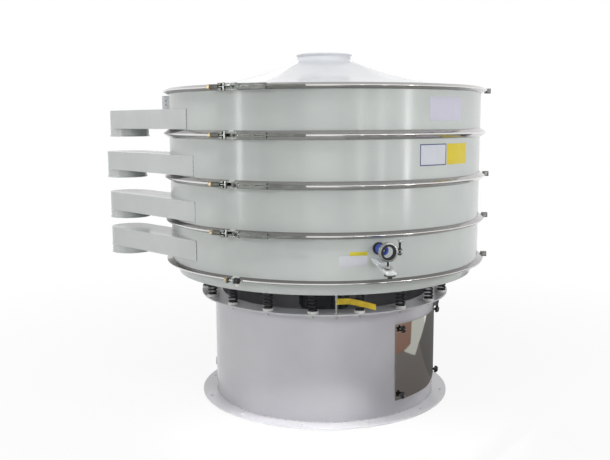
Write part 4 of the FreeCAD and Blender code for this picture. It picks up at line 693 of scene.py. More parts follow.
# %% Cover
def arc_through(first, second, third):
    """Circle through three (radius, height) points: the middle solves 2 (B - A) . m = B.B - A.A and
    2 (C - A) . m = C.C - A.A."""
    a, b, c = (np.asarray(p, float) for p in (first, second, third))
    middle = np.linalg.solve(2 * np.array([b - a, c - a]), [b @ b - a @ a, c @ c - a @ a])
    return middle, np.linalg.norm(a - middle)


def cover_profile():
    """Rim flange, arc up to the neck, fillet, neck, rolled lip and back down inside."""
    top = RING_Z[0]
    flange = clamped_flange(0, 1)
    middle, radius = arc_through((155.0, top + 178.0), (480.0, top + 70.0), flange[2])
    x = np.concatenate([[SHELL], np.linspace(SHELL - 6, 176.0, 60)])
    outer = np.stack([x, middle[1] - np.sqrt(radius ** 2 - (x - middle[0]) ** 2)], -1)
    t = np.linspace(0, 1, 9)[1:, None]
    corner, neck = np.array([155.5, outer[-1, 1] + 13]), np.array([155.0, outer[-1, 1] + 28])
    fillet = (1 - t) ** 2 * outer[-1] + 2 * t * (1 - t) * corner + t ** 2 * neck
    turn = np.radians(np.linspace(-80, 200, 22))
    lip = np.stack([157.5 + 5 * np.cos(turn), top + 209 + 5 * np.sin(turn)], -1)
    lip[:, 0] = np.maximum(lip[:, 0], 152.0)
    inside = np.array([(152.0, top + 207.0), (152.0, neck[1] - 2)])
    x = np.linspace(156.0, SHELL - WALL, 40)
    under = np.stack([x, middle[1] - np.sqrt((radius + WALL) ** 2 - (x - middle[0]) ** 2)], -1)
    return np.concatenate([flange[:2], outer, fillet, lip, inside, under, [(SHELL - WALL, flange[0][1])]])


add_piece("cover_sheet", [spun(cover_profile(), step=1.2)], COVER_COAT, "sieve_stack", ["cover"], corner=40)
print("cover:", made["cover_sheet"], "faces")

# %% [markdown]
# ## Clamp bands
# A band is rolled from a V section of polished stainless and drawn round the two flanges. It comes in
# three stretches: two joints with a bolt through upright lugs, and one seam at the latch. The nose and
# the ends of the legs are rounded, so that they catch the light as one bright line.

# %% Bands
JOINT_ANGLE = [88.0, 112.0, 88.0, 88.0, 88.0]
REAR_JOINT = 208.0
LATCH_ANGLE, DRAW_LINE = -32.0, 947.0
CLAMP_ANGLE, CLAMP_HALF = -29.2, 21.0        # bolt of the lowest band, and its lugs to each side
PIVOT_ARC, PIN_ARC, CHANNEL_ARC = 63.5, 89.5, 103.5      # of a latch, along the draw line from the fork
ROOT = NOSE - 1.6


def rim_angle(arc):
    """Plan angle of a latch piece at an arc along the draw line from the fork."""
    return LATCH_ANGLE + np.degrees(arc / DRAW_LINE)


def band_section(ring):
    """V of 3.2 mm sheet with a rounded nose and rounded leg ends."""
    half, middle = BAND_HEIGHT[ring] / 2, RING_Z[ring]
    outer = [(904.7, half), (NOSE, 3.0), (NOSE, -3.0), (904.7, -half)]
    inner = [(901.5, -half), (929.8, -3.0), (929.8, 3.0), (901.5, half)]
    corners = np.array(outer + inner)[::-1] + [0, middle]
    return rounded(corners, [1.2, 2, 2, 1.2, 1.2, 5, 5, 1.2], 3)


def joint_lug(ring, angle, side):
    """Upright lug, 6 mm thick, at a band's end."""
    near = side * 5.0
    low, high = min(near, near + side * 6), max(near, near + side * 6)
    middle = RING_Z[ring]
    return at_angle(block(ROOT, ROOT + 34, low, high, middle - 14, middle + 14, 1.6), angle)


def latch_fork(middle):
    """Block with two prongs; the draw bolt lies between them, 7 mm clear to each side of the middle."""
    back = block(ROOT, DRAW_LINE - 7, -11, 11, middle - 18, middle + 18, 1.2)
    prongs = [block(DRAW_LINE - 9, ROOT + 29, -11, 11, middle + low, middle + high, 1.6)
              for low, high in ((-18, -7), (7, 18))]
    return [at_angle(part, LATCH_ANGLE) for part in [back] + prongs]


def pivot_lug(middle):
    """Round-nosed lug that carries the lever's pivot."""
    turn = np.linspace(-np.pi / 2, np.pi / 2, 17)
    nose = np.stack([DRAW_LINE + 8 * np.cos(turn), 8 * np.sin(turn)], -1)
    outline = np.concatenate([[(ROOT, -8)], nose, [(ROOT, 8)]])
    return [at_angle(slab(outline, middle - 6, middle + 6, 0.8), rim_angle(PIVOT_ARC))]


def clamp_lug(side):
    """Lug of the lowest band, square to its clamp bolt."""
    middle = RING_Z[4]
    low, high = side * CLAMP_HALF - 3, side * CLAMP_HALF + 3
    return [at_angle(block(ROOT - 0.5, ROOT + 34, low, high, middle - 14, middle + 14, 1.6), CLAMP_ANGLE)]


gap, clamp_gap = np.degrees(5.0 / NOSE), np.degrees(CLAMP_HALF / NOSE)
for ring in range(5):
    joint, section, middle = JOINT_ANGLE[ring], band_section(ring), RING_Z[ring]
    if ring < 4:
        seam_start, seam_end = rim_angle(12.0), rim_angle(46.0)
        fittings = latch_fork(middle) + pivot_lug(middle)
    else:
        seam_start, seam_end = CLAMP_ANGLE - clamp_gap, CLAMP_ANGLE + clamp_gap
        fittings = clamp_lug(-1) + clamp_lug(1)
    stretches = [spun(section, start, end, 1.2)
                 for start, end in ((seam_end, joint - gap), (joint + gap, REAR_JOINT - gap),
                                    (REAR_JOINT + gap, seam_start + 360))]
    lugs = [joint_lug(ring, angle, side) for angle in (joint, REAR_JOINT) for side in (-1, 1)]
    add_piece("v_band_%d" % (ring + 1), stretches, BAND_STEEL, "sieve_stack", ["band_%d" % (ring + 1)])
    add_piece("band_fittings_%d" % (ring + 1), lugs + fittings, LATCH_STEEL, "sieve_stack")
print("bands:", {k: v for k, v in made.items() if "band" in k})

# %% [markdown]
# ## Nuts, bolts and pivots of the stack
# Bolt heads and nuts are hexagons whose corners a 30 degree cone has cut, which is what makes a nut look
# turned and not sawn. The joint bolts and the motor's bolts share one piece, as they share one bin.

# %% Bolts of the stack
def along_rim(x, angle, height):
    """Function from a shift along the rim to a point, at a radius x on a plan angle."""
    return lambda shift: place(angle, x, shift, height)


def joint_bolt(ring, angle):
    """Head, shank and nut through the two lugs of a joint, with a washer under each."""
    at = along_rim(ROOT + 17, angle, RING_Z[ring])
    return [bar(6, at(-11), at(29), 1.2), hexagon(19, at(-21), at(-11)), hexagon(19, at(11), at(21)),
            bar(10.5, at(11), at(12.2), 0.4), bar(10.5, at(-12.2), at(-11), 0.4)]


MOTOR_BOLT_CIRCLE = 182.0
bolts = []
for ring in range(5):
    for angle in (JOINT_ANGLE[ring], REAR_JOINT):
        bolts += joint_bolt(ring, angle)
for angle in np.arange(8) * 45.0:
    at = lambda height: place(angle, MOTOR_BOLT_CIRCLE, 0.0, height)
    bolts += [bar(8, at(720), at(771), 1.5), hexagon(24, at(770), at(780)), hexagon(24, at(738), at(748))]
for ring in range(4):
    pivot = place(rim_angle(PIVOT_ARC), DRAW_LINE, 0.0, RING_Z[ring])
    bolts.append(bar(4, pivot - [0, 0, 9.5], pivot + [0, 0, 9.5], 0.8))
add_piece("stack_bolt_set", bolts, ZINC, "sieve_stack", ["stack_bolts"])
print("bolts:", made["stack_bolt_set"], "faces")

# %% Clamp bolt of the lowest band
BALL = 9.0
at = along_rim(ROOT + 17, CLAMP_ANGLE, RING_Z[4])
add_piece("clamp_bolt_shank", [bar(6, at(-48), at(24), 1.5)], ZINC, "sieve_stack", ["clamp_bolt"])
add_piece("clamp_bolt_nut", [hexagon(24, at(-40), at(-24))], BRASS, "sieve_stack")
grip = [(0.2, 0), (12, 0), (14.2, 1.2), (15, 3.5), (15, 18.5), (14.2, 20.8), (12, 22), (0.2, 22)]
add_piece("clamp_knob", [turned(grip, at(24), at(46))], KNOB_PLASTIC, "sieve_stack")
turn = np.linspace(0.02, np.pi - 0.02, 20)
ball, ball_low = BALL * np.stack([np.sin(turn), 1 - np.cos(turn)], -1), at(35) - [0, 0, 28.5]
add_piece("clamp_knob_ball", [turned(ball, ball_low, ball_low + [0, 0, 2 * BALL])], BALL_PLASTIC,
          "sieve_stack")
print("clamp bolt made")

# %% [markdown]
# ## Lever latches
# A latch is three pieces that move: the lever on its pivot, the yoke with the draw bolt on the lever's
# pin, and the nut that sets the pull. The channel of the lever is pressed sheet with two slots, so its
# face is made of two plates with one hole each, and its flanges stand behind them.

# %% Levers
CHANNEL_HALF, HANDLE_HALF = 75.0, 95.0


def slot_outline(centre, long, high):
    """Slot with round ends."""
    turn = np.linspace(-np.pi / 2, np.pi / 2, 9)
    reach, half = long / 2 - high / 2, high / 2
    right = np.stack([centre + reach + half * np.cos(turn), half * np.sin(turn)], -1)
    left = np.stack([centre - reach - half * np.cos(turn), -half * np.sin(turn)], -1)
    return np.concatenate([right, left])


def lever(middle):
    """Two cheeks, the slotted channel and the round handle, in the plane of the ring."""
    parts = []
    run = CHANNEL_ARC - PIVOT_ARC + 2.5
    turn = np.linspace(np.pi, 2 * np.pi, 17)
    nose = np.stack([DRAW_LINE + 8 * np.cos(turn), 8 * np.sin(turn)], -1)
    cheek = np.concatenate([nose, [(DRAW_LINE + 8, run), (DRAW_LINE - 8, run)]])
    for low in (middle - 9.5, middle + 6.5):
        parts.append(at_angle(slab(cheek, low, low + 3, 0.7), rim_angle(PIVOT_ARC)))
    near, far = DRAW_LINE - 8.5, DRAW_LINE + 8.5
    channel = [block(near, far - 1.0, -CHANNEL_HALF, CHANNEL_HALF, middle + low, middle + high, 0.6)
               for low, high in ((-14, -11.5), (11.5, 14))]
    channel += [block(near, far - 1.0, low, high, middle - 12, middle + 12, 0.6)
                for low, high in ((-CHANNEL_HALF, 2.5 - CHANNEL_HALF), (CHANNEL_HALF - 2.5, CHANNEL_HALF))]
    for side in (-1, 1):
        half_face = rectangle(*sorted((0, side * CHANNEL_HALF)), -14, 14, 0.3)
        face = holed(half_face, slot_outline(side * CHANNEL_HALF / 2, 48, 8), far - 2.5, far)
        channel.append(moved(face, lambda p: np.stack([p[:, 2], p[:, 0], p[:, 1] + middle], -1)))
    parts += [at_angle(part, rim_angle(CHANNEL_ARC + CHANNEL_HALF)) for part in channel]
    at = along_rim(DRAW_LINE, rim_angle(CHANNEL_ARC + 2 * CHANNEL_HALF + HANDLE_HALF), middle)
    parts.append(bar(6.5, at(-HANDLE_HALF - 6.5), at(HANDLE_HALF), 3.0))
    return parts


for number in range(1, 5):
    add_piece("lever_%d" % number, lever(RING_Z[number - 1]), LATCH_STEEL, "latch_lever_%d" % number,
              ["latch_lever_%d" % number])
print("levers:", made["lever_1"], "faces each")

# %% Draw links and their nuts
def draw_link(middle):
    """Draw bolt, head, twin rods with eyes and the pin they pull on; returns the steel and the sleeve."""
    pin, fork = place(rim_angle(PIN_ARC), DRAW_LINE, 0, middle), place(LATCH_ANGLE, DRAW_LINE, 0, middle)
    away = (fork - pin) / np.linalg.norm(fork - pin)
    side, up = np.array([away[1], -away[0], 0.0]), np.array([0.0, 0.0, 1.0])
    head_near = fork - away * 14.0
    seat = fork + away * 12.0
    sleeve_end = seat + away * 52.0
    head = slab(rectangle(-8, 8, -10, 0, 1.2), -20, 20, 1.2)
    steel = [moved(head, lambda p: posed(p, head_near, side, away, up)),
             bar(6, head_near - away * 5, sleeve_end + away * 24, 1.4),
             bar(4, pin - up * 18, pin + up * 18, 0.8)]
    for rise in (-14.0, 14.0):
        steel.append(bar(3.2, pin + up * rise, head_near - away * 5 + up * rise, 0.5))
        steel.append(bar(7.5, pin + up * (rise - 4), pin + up * (rise + 4), 1.0))
    sleeve = turned([(6.02, 0), (12.2, 0), (13, 0.9), (13, 51.1), (12.2, 52), (6.02, 52)], seat, sleeve_end,
                    bored=True)
    nut = hexagon(24, sleeve_end, sleeve_end + away * 16)
    return steel, [sleeve], [nut]


for number in range(1, 5):
    steel, sleeve, nut = draw_link(RING_Z[number - 1])
    body = "draw_link_%d" % number
    add_piece("yoke_%d" % number, steel, ZINC, body, ["draw_link_%d" % number])
    add_piece("sleeve_%d" % number, sleeve, SLEEVE_STEEL, body)
    add_piece("draw_nut_%d" % number, nut, BRASS, body, ["latch_nut_%d" % number])
print("links:", made["yoke_1"], "faces each")

# %% [markdown]
# ## Table, spring cups and the base
# Under the stack a rolled table with eight ribs carries the motor and sits on eighteen springs in nylon
# cups. Below it, the top flange, the drum and the floor flange are flat rings and a rolled shell, all
# coated white. Both flanges are cut in equal sectors, each a plate with one bolt hole, so that a ring of
# holes needs no boolean. A coil is round wire carried along a helix; the coils' mesh stays fixed in
# place, attached to no body.

# %% Table, cups and springs
TABLE_LOW, TABLE_TOP = 748.0, 756.0
FLANGE_LOW, FLANGE_TOP = 609.0, 617.0
SPRING_ANGLES, SPRING_CIRCLE = -4.8 + 20.0 * np.arange(18), 703.0
COIL_RADIUS, WIRE_RADIUS, COIL_TURNS, COIL_LOW, COIL_HIGH = 21.5, 5.0, 6, 626.2, 738.8


def table_profile():
    """Clamped rim, a step in to the lip, down to the plate, and back up inside."""
    flange = clamped_flange(4, -1)
    rim_low = flange[2][1] - 5.0
    return np.array([flange[0], (856.0, flange[0][1]), (856.0, TABLE_TOP + 6), (850.0, TABLE_TOP),
                     (158.0, TABLE_TOP), (158.0, TABLE_LOW), (858.0, TABLE_LOW), (862.5, TABLE_LOW + 1.5),
                     (864.0, TABLE_LOW + 6), (864.0, rim_low), (SHELL, rim_low), flange[2], flange[1]])[::-1]


def cup(angle, floor, side):
    """Cup with a drilled floor and a rounded rim, opening up or down."""
    profile = [(5.0, 0), (28.4, 0), (29.5, 1.2), (29.5, 13.8), (28.9, 14.8), (27.5, 15), (27, 14.4), (27, 5),
               (26, 4), (5.0, 4)]
    start = place(angle, SPRING_CIRCLE, 0.0, floor)
    return turned(profile, start, start + [0, 0, side * 10.0], bored=True)


add_piece("table_sheet", [spun(table_profile())], FRAME_COAT_PAINTED_SHADE, "sieve_stack", ["vibrating_table"])
add_piece("upper_cup_set", [cup(angle, TABLE_LOW, -1) for angle in SPRING_ANGLES], CUP_NYLON, "sieve_stack",
          ["upper_cups"])
add_piece("lower_cup_set", [cup(angle, FLANGE_TOP, 1) for angle in SPRING_ANGLES], CUP_NYLON, "base",
          ["spring_cups"])
turn = np.linspace(0.0, COIL_TURNS * 2.0 * np.pi, COIL_TURNS * 36 + 1)
helix = np.stack([COIL_RADIUS * np.cos(turn), COIL_RADIUS * np.sin(turn),
                  np.linspace(COIL_LOW, COIL_HIGH, len(turn))], -1)
coils = [swept(helix + place(angle, SPRING_CIRCLE), circle(WIRE_RADIUS, 14)) for angle in SPRING_ANGLES]
add_piece("spring_coils", coils, SPRING_SHEATH, "base", ["springs"],
          bends=("sieve_stack", COIL_LOW, COIL_HIGH))
gusset = np.array([(212.0, TABLE_LOW + 0.5), (212.0, 650.0), (250.0, 645.0), (560.0, 738.0),
                   (560.0, TABLE_LOW + 0.5)])
gussets = []
for angle in np.arange(8) * 45.0 + 22.5:
    plate = moved(slab(gusset, -4.0, 4.0, 1.0), lambda p: np.column_stack([p[:, 0], -p[:, 2], p[:, 1]]))
    gussets.append(at_angle(plate, angle))
add_piece("table_gussets", gussets, FRAME_COAT_PAINTED_SHADE, "sieve_stack")
print("table and cups:", made["table_sheet"], made["upper_cup_set"], "gussets:", len(gussets))

# %% Drum and flanges
DRUM_OUT, DRUM_IN, FLOOR_PLATE = 654.0, 650.0, 8.0
DOOR_START, DOOR_END, DOOR_LAP, STUD_IN = 36.0, 88.0, 52.0, 28.0      # degrees; lap and stud along the rim
drum_section = [(DRUM_OUT, FLOOR_PLATE), (DRUM_OUT, FLANGE_LOW), (DRUM_IN, FLANGE_LOW),
                (DRUM_IN, FLOOR_PLATE)]
lap, stud_in = np.degrees(DOOR_LAP / DRUM_OUT), np.degrees(STUD_IN / DRUM_OUT)
drum = windowed(drum_section, 138.0, 462.0, DOOR_START + lap, DOOR_END - lap, DRUM_IN, DRUM_OUT)
for angle in (-86.0, 100.0):
    foot = place(angle, 648.0, 0.0, 158.0)
    drum.append(bar(24, foot, foot + place(angle, 12.0), 1.5, 48))
DOOR_WAY = place((DOOR_START + DOOR_END) / 2, 1.0)
STUD_FEET = [place(angle, DRUM_OUT, 0.0, height) for height in (114.0, 486.0)
             for angle in (DOOR_START + stud_in, DOOR_END - stud_in)]
studs = [bar(4, foot - DOOR_WAY * 12, foot + DOOR_WAY * 40, 0.8) for foot in STUD_FEET]
add_piece("drum_shell", drum, BASE_COAT_PAINTED_SHADE, "base", ["base_drum"])
add_piece("door_studs", studs, ZINC, "base")


def ring_of_holes(inner, outer, low, high, circle_radius, hole_radius, count, first):
    """Flat ring in equal sectors, each with one hole; the rims are eased by 1 mm along the radius."""
    half = np.pi / count
    turn = np.linspace(-half, half, 13)
    arc = np.stack([np.cos(turn), np.sin(turn)], -1)
    outline = np.concatenate([outer * arc, inner * arc[::-1]])
    hole = [circle_radius, 0] + circle(hole_radius, 24)

    def ease(xy):
        reach = np.linalg.norm(xy, axis=1, keepdims=True)
        return xy / reach * np.clip(reach, inner + 1, outer - 1)
    sector = holed(outline, hole, low, high, ease)
    return [at_angle(sector, first + k * 360.0 / count) for k in range(count)]


spring_ring = ring_of_holes(610.0, 733.0, FLANGE_LOW, FLANGE_TOP, SPRING_CIRCLE, 5.0, len(SPRING_ANGLES),
                            SPRING_ANGLES[0])
floor_ring = ring_of_holes(610.0, 738.0, 0.0, FLOOR_PLATE, 700.0, 9.0, 12, 20.0)
add_piece("top_flange_plate", spring_ring, BASE_COAT_PAINTED_SHADE, "base", ["top_flange"])
# The floor flange's lighter coat is painted light.
add_piece("floor_flange_plate", floor_ring, FLANGE_COAT_PAINTED_LIGHT, "base", ["floor_flange"])
turn = np.linspace(0, 360, 721)[:-1]
ropes = []
for height in (FLOOR_PLATE + 1.4, FLANGE_LOW - 1.4):
    rope = [place(turn, DRUM_OUT + 1.2 + 3.0 * np.cos(t) + 0.3 * np.sin(turn * 4.0), 0.0,
                  height + 3.0 * np.sin(t)) for t in np.linspace(0, 2 * np.pi, 9)[:-1]]
    ropes.append(skin(np.stack(rope, 1), ring=True))
add_piece("drum_welds", ropes, WELD_COAT, "base", corner=70)
print("base:", {k: made[k] for k in ("drum_shell", "top_flange_plate", "floor_flange_plate", "drum_welds")})

# %% [markdown]
# ## Access door and its star knobs
# The door is a curved plate of mirror-polished stainless, drawn against a rubber frame by four moulded
# star knobs. A knob's edge is a wave: the radius grows and shrinks five times round, as a hand needs.

# %% Door and knobs
door_section = rectangle(657.3, 660.3, 86.0, 514.0, 0.8)
add_piece("door_sheet", [spun(door_section, DOOR_START, DOOR_END, 1.0)], DOOR_STEEL, "door", ["door"])


def knob(foot):
    """Star of radius 17.3 + 3.6 cos(5 t) with rounded rims, on a plain neck; bored for the stud. The neck
    rests on the curved door, which leans away from it by half the door's angle."""
    stand_off, neck, lean = 6.3, 9.0, np.radians((DOOR_END - DOOR_START) / 2)
    seat = foot + DOOR_WAY * ((stand_off + neck * np.sin(lean)) / np.cos(lean) + 0.5)
    t = np.linspace(0, 2 * np.pi, 90, endpoint=False)
    lobes = 17.3 + 3.6 * np.cos(5 * t)
    rows = [(4.05, 23.0), (4.05, 0.0), (neck, 0.0), (neck, 6.4)]
    star = [(-3.0, 7.0), (-0.9, 7.8), (0.0, 10.0), (0.0, 20.0), (-0.8, 21.8), (-2.6, 22.6), (-9.0, 23.0)]
    radius = np.stack([np.full(len(t), r) for r, h in rows] + [lobes + shift for shift, h in star])
    height = np.array([h for r, h in rows + star])[:, None]
    local = np.stack([radius * np.cos(t), radius * np.sin(t), height + 0 * t], -1)
    side = np.cross([0.0, 0.0, 1.0], DOOR_WAY)
    return skin(posed(local, seat, np.array([0.0, 0.0, 1.0]), side, DOOR_WAY), ring=True)


for number, foot in enumerate(STUD_FEET, 1):
    add_piece("star_knob_%d" % number, [knob(foot)], KNOB_PLASTIC, "door_knob_%d" % number,
              ["door_knob_%d" % number], corner=45)
print("door and knobs:", made["door_sheet"], made["star_knob_1"])

# %% [markdown]
# ## Transport stud, tag and terminal box
# For transport a stud is screwed up against the table. A bare yellow tag hangs from it, a thin strip that
# goes round the stud and droops; a strip is a small rectangle carried along a line. The terminal box is
# cast, with a lid that laps it.

# %% Stud, tag and box
def at_stud(height):
    """Point on the transport stud's axis."""
    return place(5.0, 720.0, 0.0, height)


stud_parts = [bar(6, at_stud(591), at_stud(730), 1.5),
              hexagon(20, at_stud(FLANGE_LOW - 8), at_stud(FLANGE_LOW)),
              hexagon(20, at_stud(FLANGE_TOP), at_stud(FLANGE_TOP + 9))]
add_piece("transport_stud_bar", stud_parts, ZINC, "base", ["transport_stud"])


def tag():
    """Strip 32 mm wide: once round the stud, level for 66 mm, then 140 mm that droop by 36 mm."""
    turn = np.linspace(-np.pi, 0, 17)
    wrap = np.stack([6.6 * np.cos(turn + np.pi), 6.6 * np.sin(turn + np.pi), 0 * turn], -1)[::-1]
    level = np.column_stack([np.full(6, 6.6), np.linspace(8, 66, 6), np.zeros(6)])
    t = np.linspace(0, 1, 12)[1:]
    tail = np.column_stack([6.6 + 1.2 * np.sin(t * 5), 66 + 140 * t, -36 * t ** 1.15])
    line = np.concatenate([wrap, level, tail])
    start = FLANGE_TOP + 52.0
    rows = [line + [dx, 0, start + dz] for dx, dz in ((-0.5, 0.4), (0.5, 0.4), (0.5, 31.6), (-0.5, 31.6))]
    return moved(skin(np.stack(rows, 1)), lambda p: stand(p, 7.0) + at_stud(0.0))


add_piece("tag_strip", [tag()], TAG_VINYL, "base", ["transport_tag"])
box_parts = [block(652.0, 688.0, -29, 29, 488, 550, 3.0), block(688.0, 694.0, -31, 31, 486, 552, 2.0)]
for along in (-25, 25):
    for rise in (492, 546):
        box_parts.append(bar(3.0, (693.0, along, rise), (694.8, along, rise), 0.8, 20))
add_piece("terminal_box_shell", [at_angle(part, 93.5) for part in box_parts], MOTOR_PAINT, "base",
          ["terminal_box"])
gland = [(5.05, 0), (8.6, 0.4), (9.6, 1.6), (10.2, 5.4), (11, 6), (11, 13.6), (5.05, 14)]
glands = [turned(gland, end, end - way * 14, bored=True, sides=36)
          for end, way in ((hang, down), (enter, outward))]
add_piece("cable_glands", glands, KNOB_PLASTIC, "base")
print("stud, tag, box:", made["transport_stud_bar"], made["tag_strip"], made["terminal_box_shell"])

# %% [markdown]
# ## Hose port, clip and bracket
# Low on the front a stub takes a hose for cleaning air. A rubber collar seals it, a blue cap closes it,
# and a clip on a sloping bracket would hold the hose. All of it is turned or bent work: profiles about
# the port's axis, and plates.

# %% Hose port
PORT_ANGLE, PORT_Z = 17.3, 985.0
port_root, port_way = place(PORT_ANGLE, SHELL, 0.0, PORT_Z), place(PORT_ANGLE, 1.0)


def on_port(profile, **options):
    """Profile of (radius, distance outside the shell) turned about the port's axis."""
    return turned(profile, port_root, port_root + port_way * 10, **options)


collar = [(17.05, -2.5), (26, -1.5), (31, -0.3), (31, 9.5), (30.3, 11.3), (28.6, 12), (20.4, 12), (20, 12.6),
          (20, 19.4), (19.4, 20), (17.6, 20), (17.05, 19.4)]
add_piece("port_collar", [on_port(collar, bored=True, sides=64)], RUBBER, "sieve_stack", ["port_ring"])
cap = [(20.06, 12.5), (23.6, 12.5), (25, 14), (25, 19.5), (24.2, 20.3), (24.2, 23.2), (25, 24),
       (25, 66.5), (24, 69.4), (21.6, 70.5), (11.4, 70.5), (10, 69.2), (10, 54.5), (0.2, 54.5), (0.2, 20.6),
       (20.06, 20.6)]
add_piece("port_cap_body", [on_port(cap, bored=True, sides=64)], CAP_PLASTIC, "port_cap", ["port_cap"])
socket = [(0.2, 54.6), (9.9, 54.6), (9.9, 68.0), (8.2, 68.0), (8.2, 58.0), (0.2, 58.0)]
add_piece("cap_socket", [on_port(socket, sides=48)], KNOB_PLASTIC, "port_cap")
add_piece("cap_pin", [on_port([(0.2, 57.0), (5.4, 57.0), (5.4, 65.4), (4.8, 66.0), (0.2, 66.0)], sides=36)],
          BALL_PLASTIC, "port_cap")
print("port:", made["port_collar"], made["port_cap_body"])

# %% Clip
CLIP_REACH, CLIP_SCREW = 122.0, 60.0         # the clip outside the shell, and its screw along the rim
CLIP_X = SHELL + CLIP_REACH
BRACKET_ROOT, BRACKET_SLOPE = 936.0, 16.0


def clip_ring(profile):
    """Profile of (radius, distance from the clip's back face) turned about the port's axis."""
    back = place(PORT_ANGLE, CLIP_X - 10.0, 0.0, PORT_Z)
    return turned(profile, back, back + port_way * 10, bored=True, sides=96)


def local_bar(radius, start, end, edge=0.8, sides=32, angle=PORT_ANGLE):
    """Bar between two local points, turned to a plan angle."""
    return bar(radius, stand(np.asarray(start, float), angle), stand(np.asarray(end, float), angle),
               edge, sides)


def local_nut(flats, start, end):
    """Hexagon between two local points, turned to the port's angle."""
    return hexagon(flats, *(stand(np.asarray(point, float), PORT_ANGLE) for point in (start, end)))


def bracket_top(reach):
    """Height of the bracket's upper face at a distance outside the shell: root - reach tan(slope)."""
    return BRACKET_ROOT - reach * np.tan(np.radians(BRACKET_SLOPE))


strap = clip_ring([(38, 1.6), (39, 0), (44.2, 0), (46.2, 1), (47, 3), (47, 7), (46, 8.4), (46, 11.6),
                   (47, 13), (47, 17), (46.2, 19), (44.2, 20), (39, 20), (38, 18.4)])
ears = [at_angle(block(CLIP_X - 10, CLIP_X + 10, 40.0, 73, low, low + 3, 0.8), PORT_ANGLE)
        for low in (PORT_Z - 9, PORT_Z + 6)]
screw = [local_bar(5.4, (CLIP_X, CLIP_SCREW, PORT_Z - 18), (CLIP_X, CLIP_SCREW, PORT_Z + 46))]
screw += [local_nut(18, (CLIP_X, CLIP_SCREW, PORT_Z + low), (CLIP_X, CLIP_SCREW, PORT_Z + low + 7))
          for low in (-16, 9)]
turns = [local_bar(6, (CLIP_X, CLIP_SCREW, z), (CLIP_X, CLIP_SCREW, z + 1.4), 0.6, 24)
         for z in np.arange(PORT_Z + 17.5, PORT_Z + 44.0, 2.6)]
stud = [local_bar(5, (CLIP_X, 0, bracket_top(CLIP_REACH) - 2), (CLIP_X, 0, PORT_Z - 42.5))]
head = local_nut(20, (CLIP_X, CLIP_SCREW, PORT_Z + 46), (CLIP_X, CLIP_SCREW, PORT_Z + 58))
add_piece("clip_strap", [strap] + ears, ZINC, "sieve_stack", ["hose_clip"])
add_piece("clip_screw", screw + turns + stud, DARK_STEEL, "sieve_stack")
add_piece("clip_screw_head", [head], ZINC, "sieve_stack")
nut_low = bracket_top(CLIP_REACH - 26)
stud_nut = [local_nut(26, (CLIP_X, 0, nut_low), (CLIP_X, 0, nut_low + 9)),
            local_bar(16, (CLIP_X, 0, nut_low - 2.5), (CLIP_X, 0, nut_low), 0.6)]
add_piece("clip_stud_nut", stud_nut, ZINC, "sieve_stack")
liner = clip_ring([(28, 1.5), (29.5, 0), (37.9, 0), (37.9, 20), (29.5, 20), (28, 18.5)])
add_piece("clip_liner", [liner], RUBBER, "sieve_stack")
print("clip:", made["clip_strap"], made["clip_screw"])

# %% Bracket, buffer and side lug
BUFFER_REACH, PAD_RADIUS = 148.0, 28.0
BUFFER_X, LUG_ANGLE = SHELL + BUFFER_REACH, -84.0


def bracket():
    """Tapered plate, 92 mm wide at the shell and 54 at its end, that slopes down."""
    turn = np.radians(np.linspace(-2.93, 2.93, 9))
    root = np.stack([(SHELL - 0.5) * np.cos(turn), (SHELL - 0.5) * np.sin(turn)], -1)
    tip = rounded([(990.0, 36.6), (990.0, -36.6), (1072.0, -27.0), (1072.0, 27.0)], [0.5, 0.5, 9, 9], 5)[::-1]
    outline = np.concatenate([tip[(tip[:, 0] > 1000)], root[::-1]])
    order = np.argsort(np.arctan2(outline[:, 1], outline[:, 0] - 985.0))
    plate = slab(outline[order], -5.0, 0.0, 1.0)
    return moved(plate, lambda p: np.stack([p[:, 0], p[:, 1], p[:, 2] + bracket_top(p[:, 0] - SHELL)], -1))


add_piece("bracket_plate", [at_angle(bracket(), PORT_ANGLE)], SPOUT_COAT_PAINTED_SHADE, "sieve_stack", ["clip_bracket"])
pad_top = bracket_top(BUFFER_REACH + PAD_RADIUS) - 5.0
pad = [local_bar(PAD_RADIUS, (BUFFER_X, 0, pad_top - 7), (BUFFER_X, 0, pad_top), 1.8, 72),
       local_bar(5, (BUFFER_X, 0, pad_top - 1), (BUFFER_X, 0, bracket_top(BUFFER_REACH) - 2.5), 0.5)]
add_piece("buffer_pad", pad, SLEEVE_STEEL, "sieve_stack", ["buffer_bolt"])
buffer_nut = local_nut(22, (BUFFER_X, 0, pad_top - 19), (BUFFER_X, 0, pad_top - 7))
add_piece("buffer_nut", [buffer_nut], DARK_STEEL, "sieve_stack")
lug = block(SHELL - 1, SHELL + 40, -3, 3, 1673, 1752, 1.0)
# Painted light: the lug takes the cover's lighter coat, not the spouts', so that it looks lit where it stands
# in shade.
add_piece("side_lug_plate", [at_angle(lug, LUG_ANGLE)], COVER_COAT, "sieve_stack", ["side_lug"])
lug_bolts = [local_bar(5, (SHELL + 20, -6, z), (SHELL + 20, 6, z), 1.5, angle=LUG_ANGLE)
             for z in (1701.5, 1723.5)]
add_piece("side_lug_bolts", lug_bolts, ZINC, "sieve_stack")
print("bracket and lug:", made["bracket_plate"], made["side_lug_plate"])

# %% [markdown]
# ## Blank label plates
# The plates are printed film on thin sheet, bent round the frame. Here they carry nothing: a plain
# lilac-white field, a white field with a blue border, a yellow one, and two small ones. The border could
# be a strip of its own; it is worked out in the film from the plan angle and the height instead, as it is
# printed and has no thickness.

# %% Film
BORDER_WIDTH = 5.0


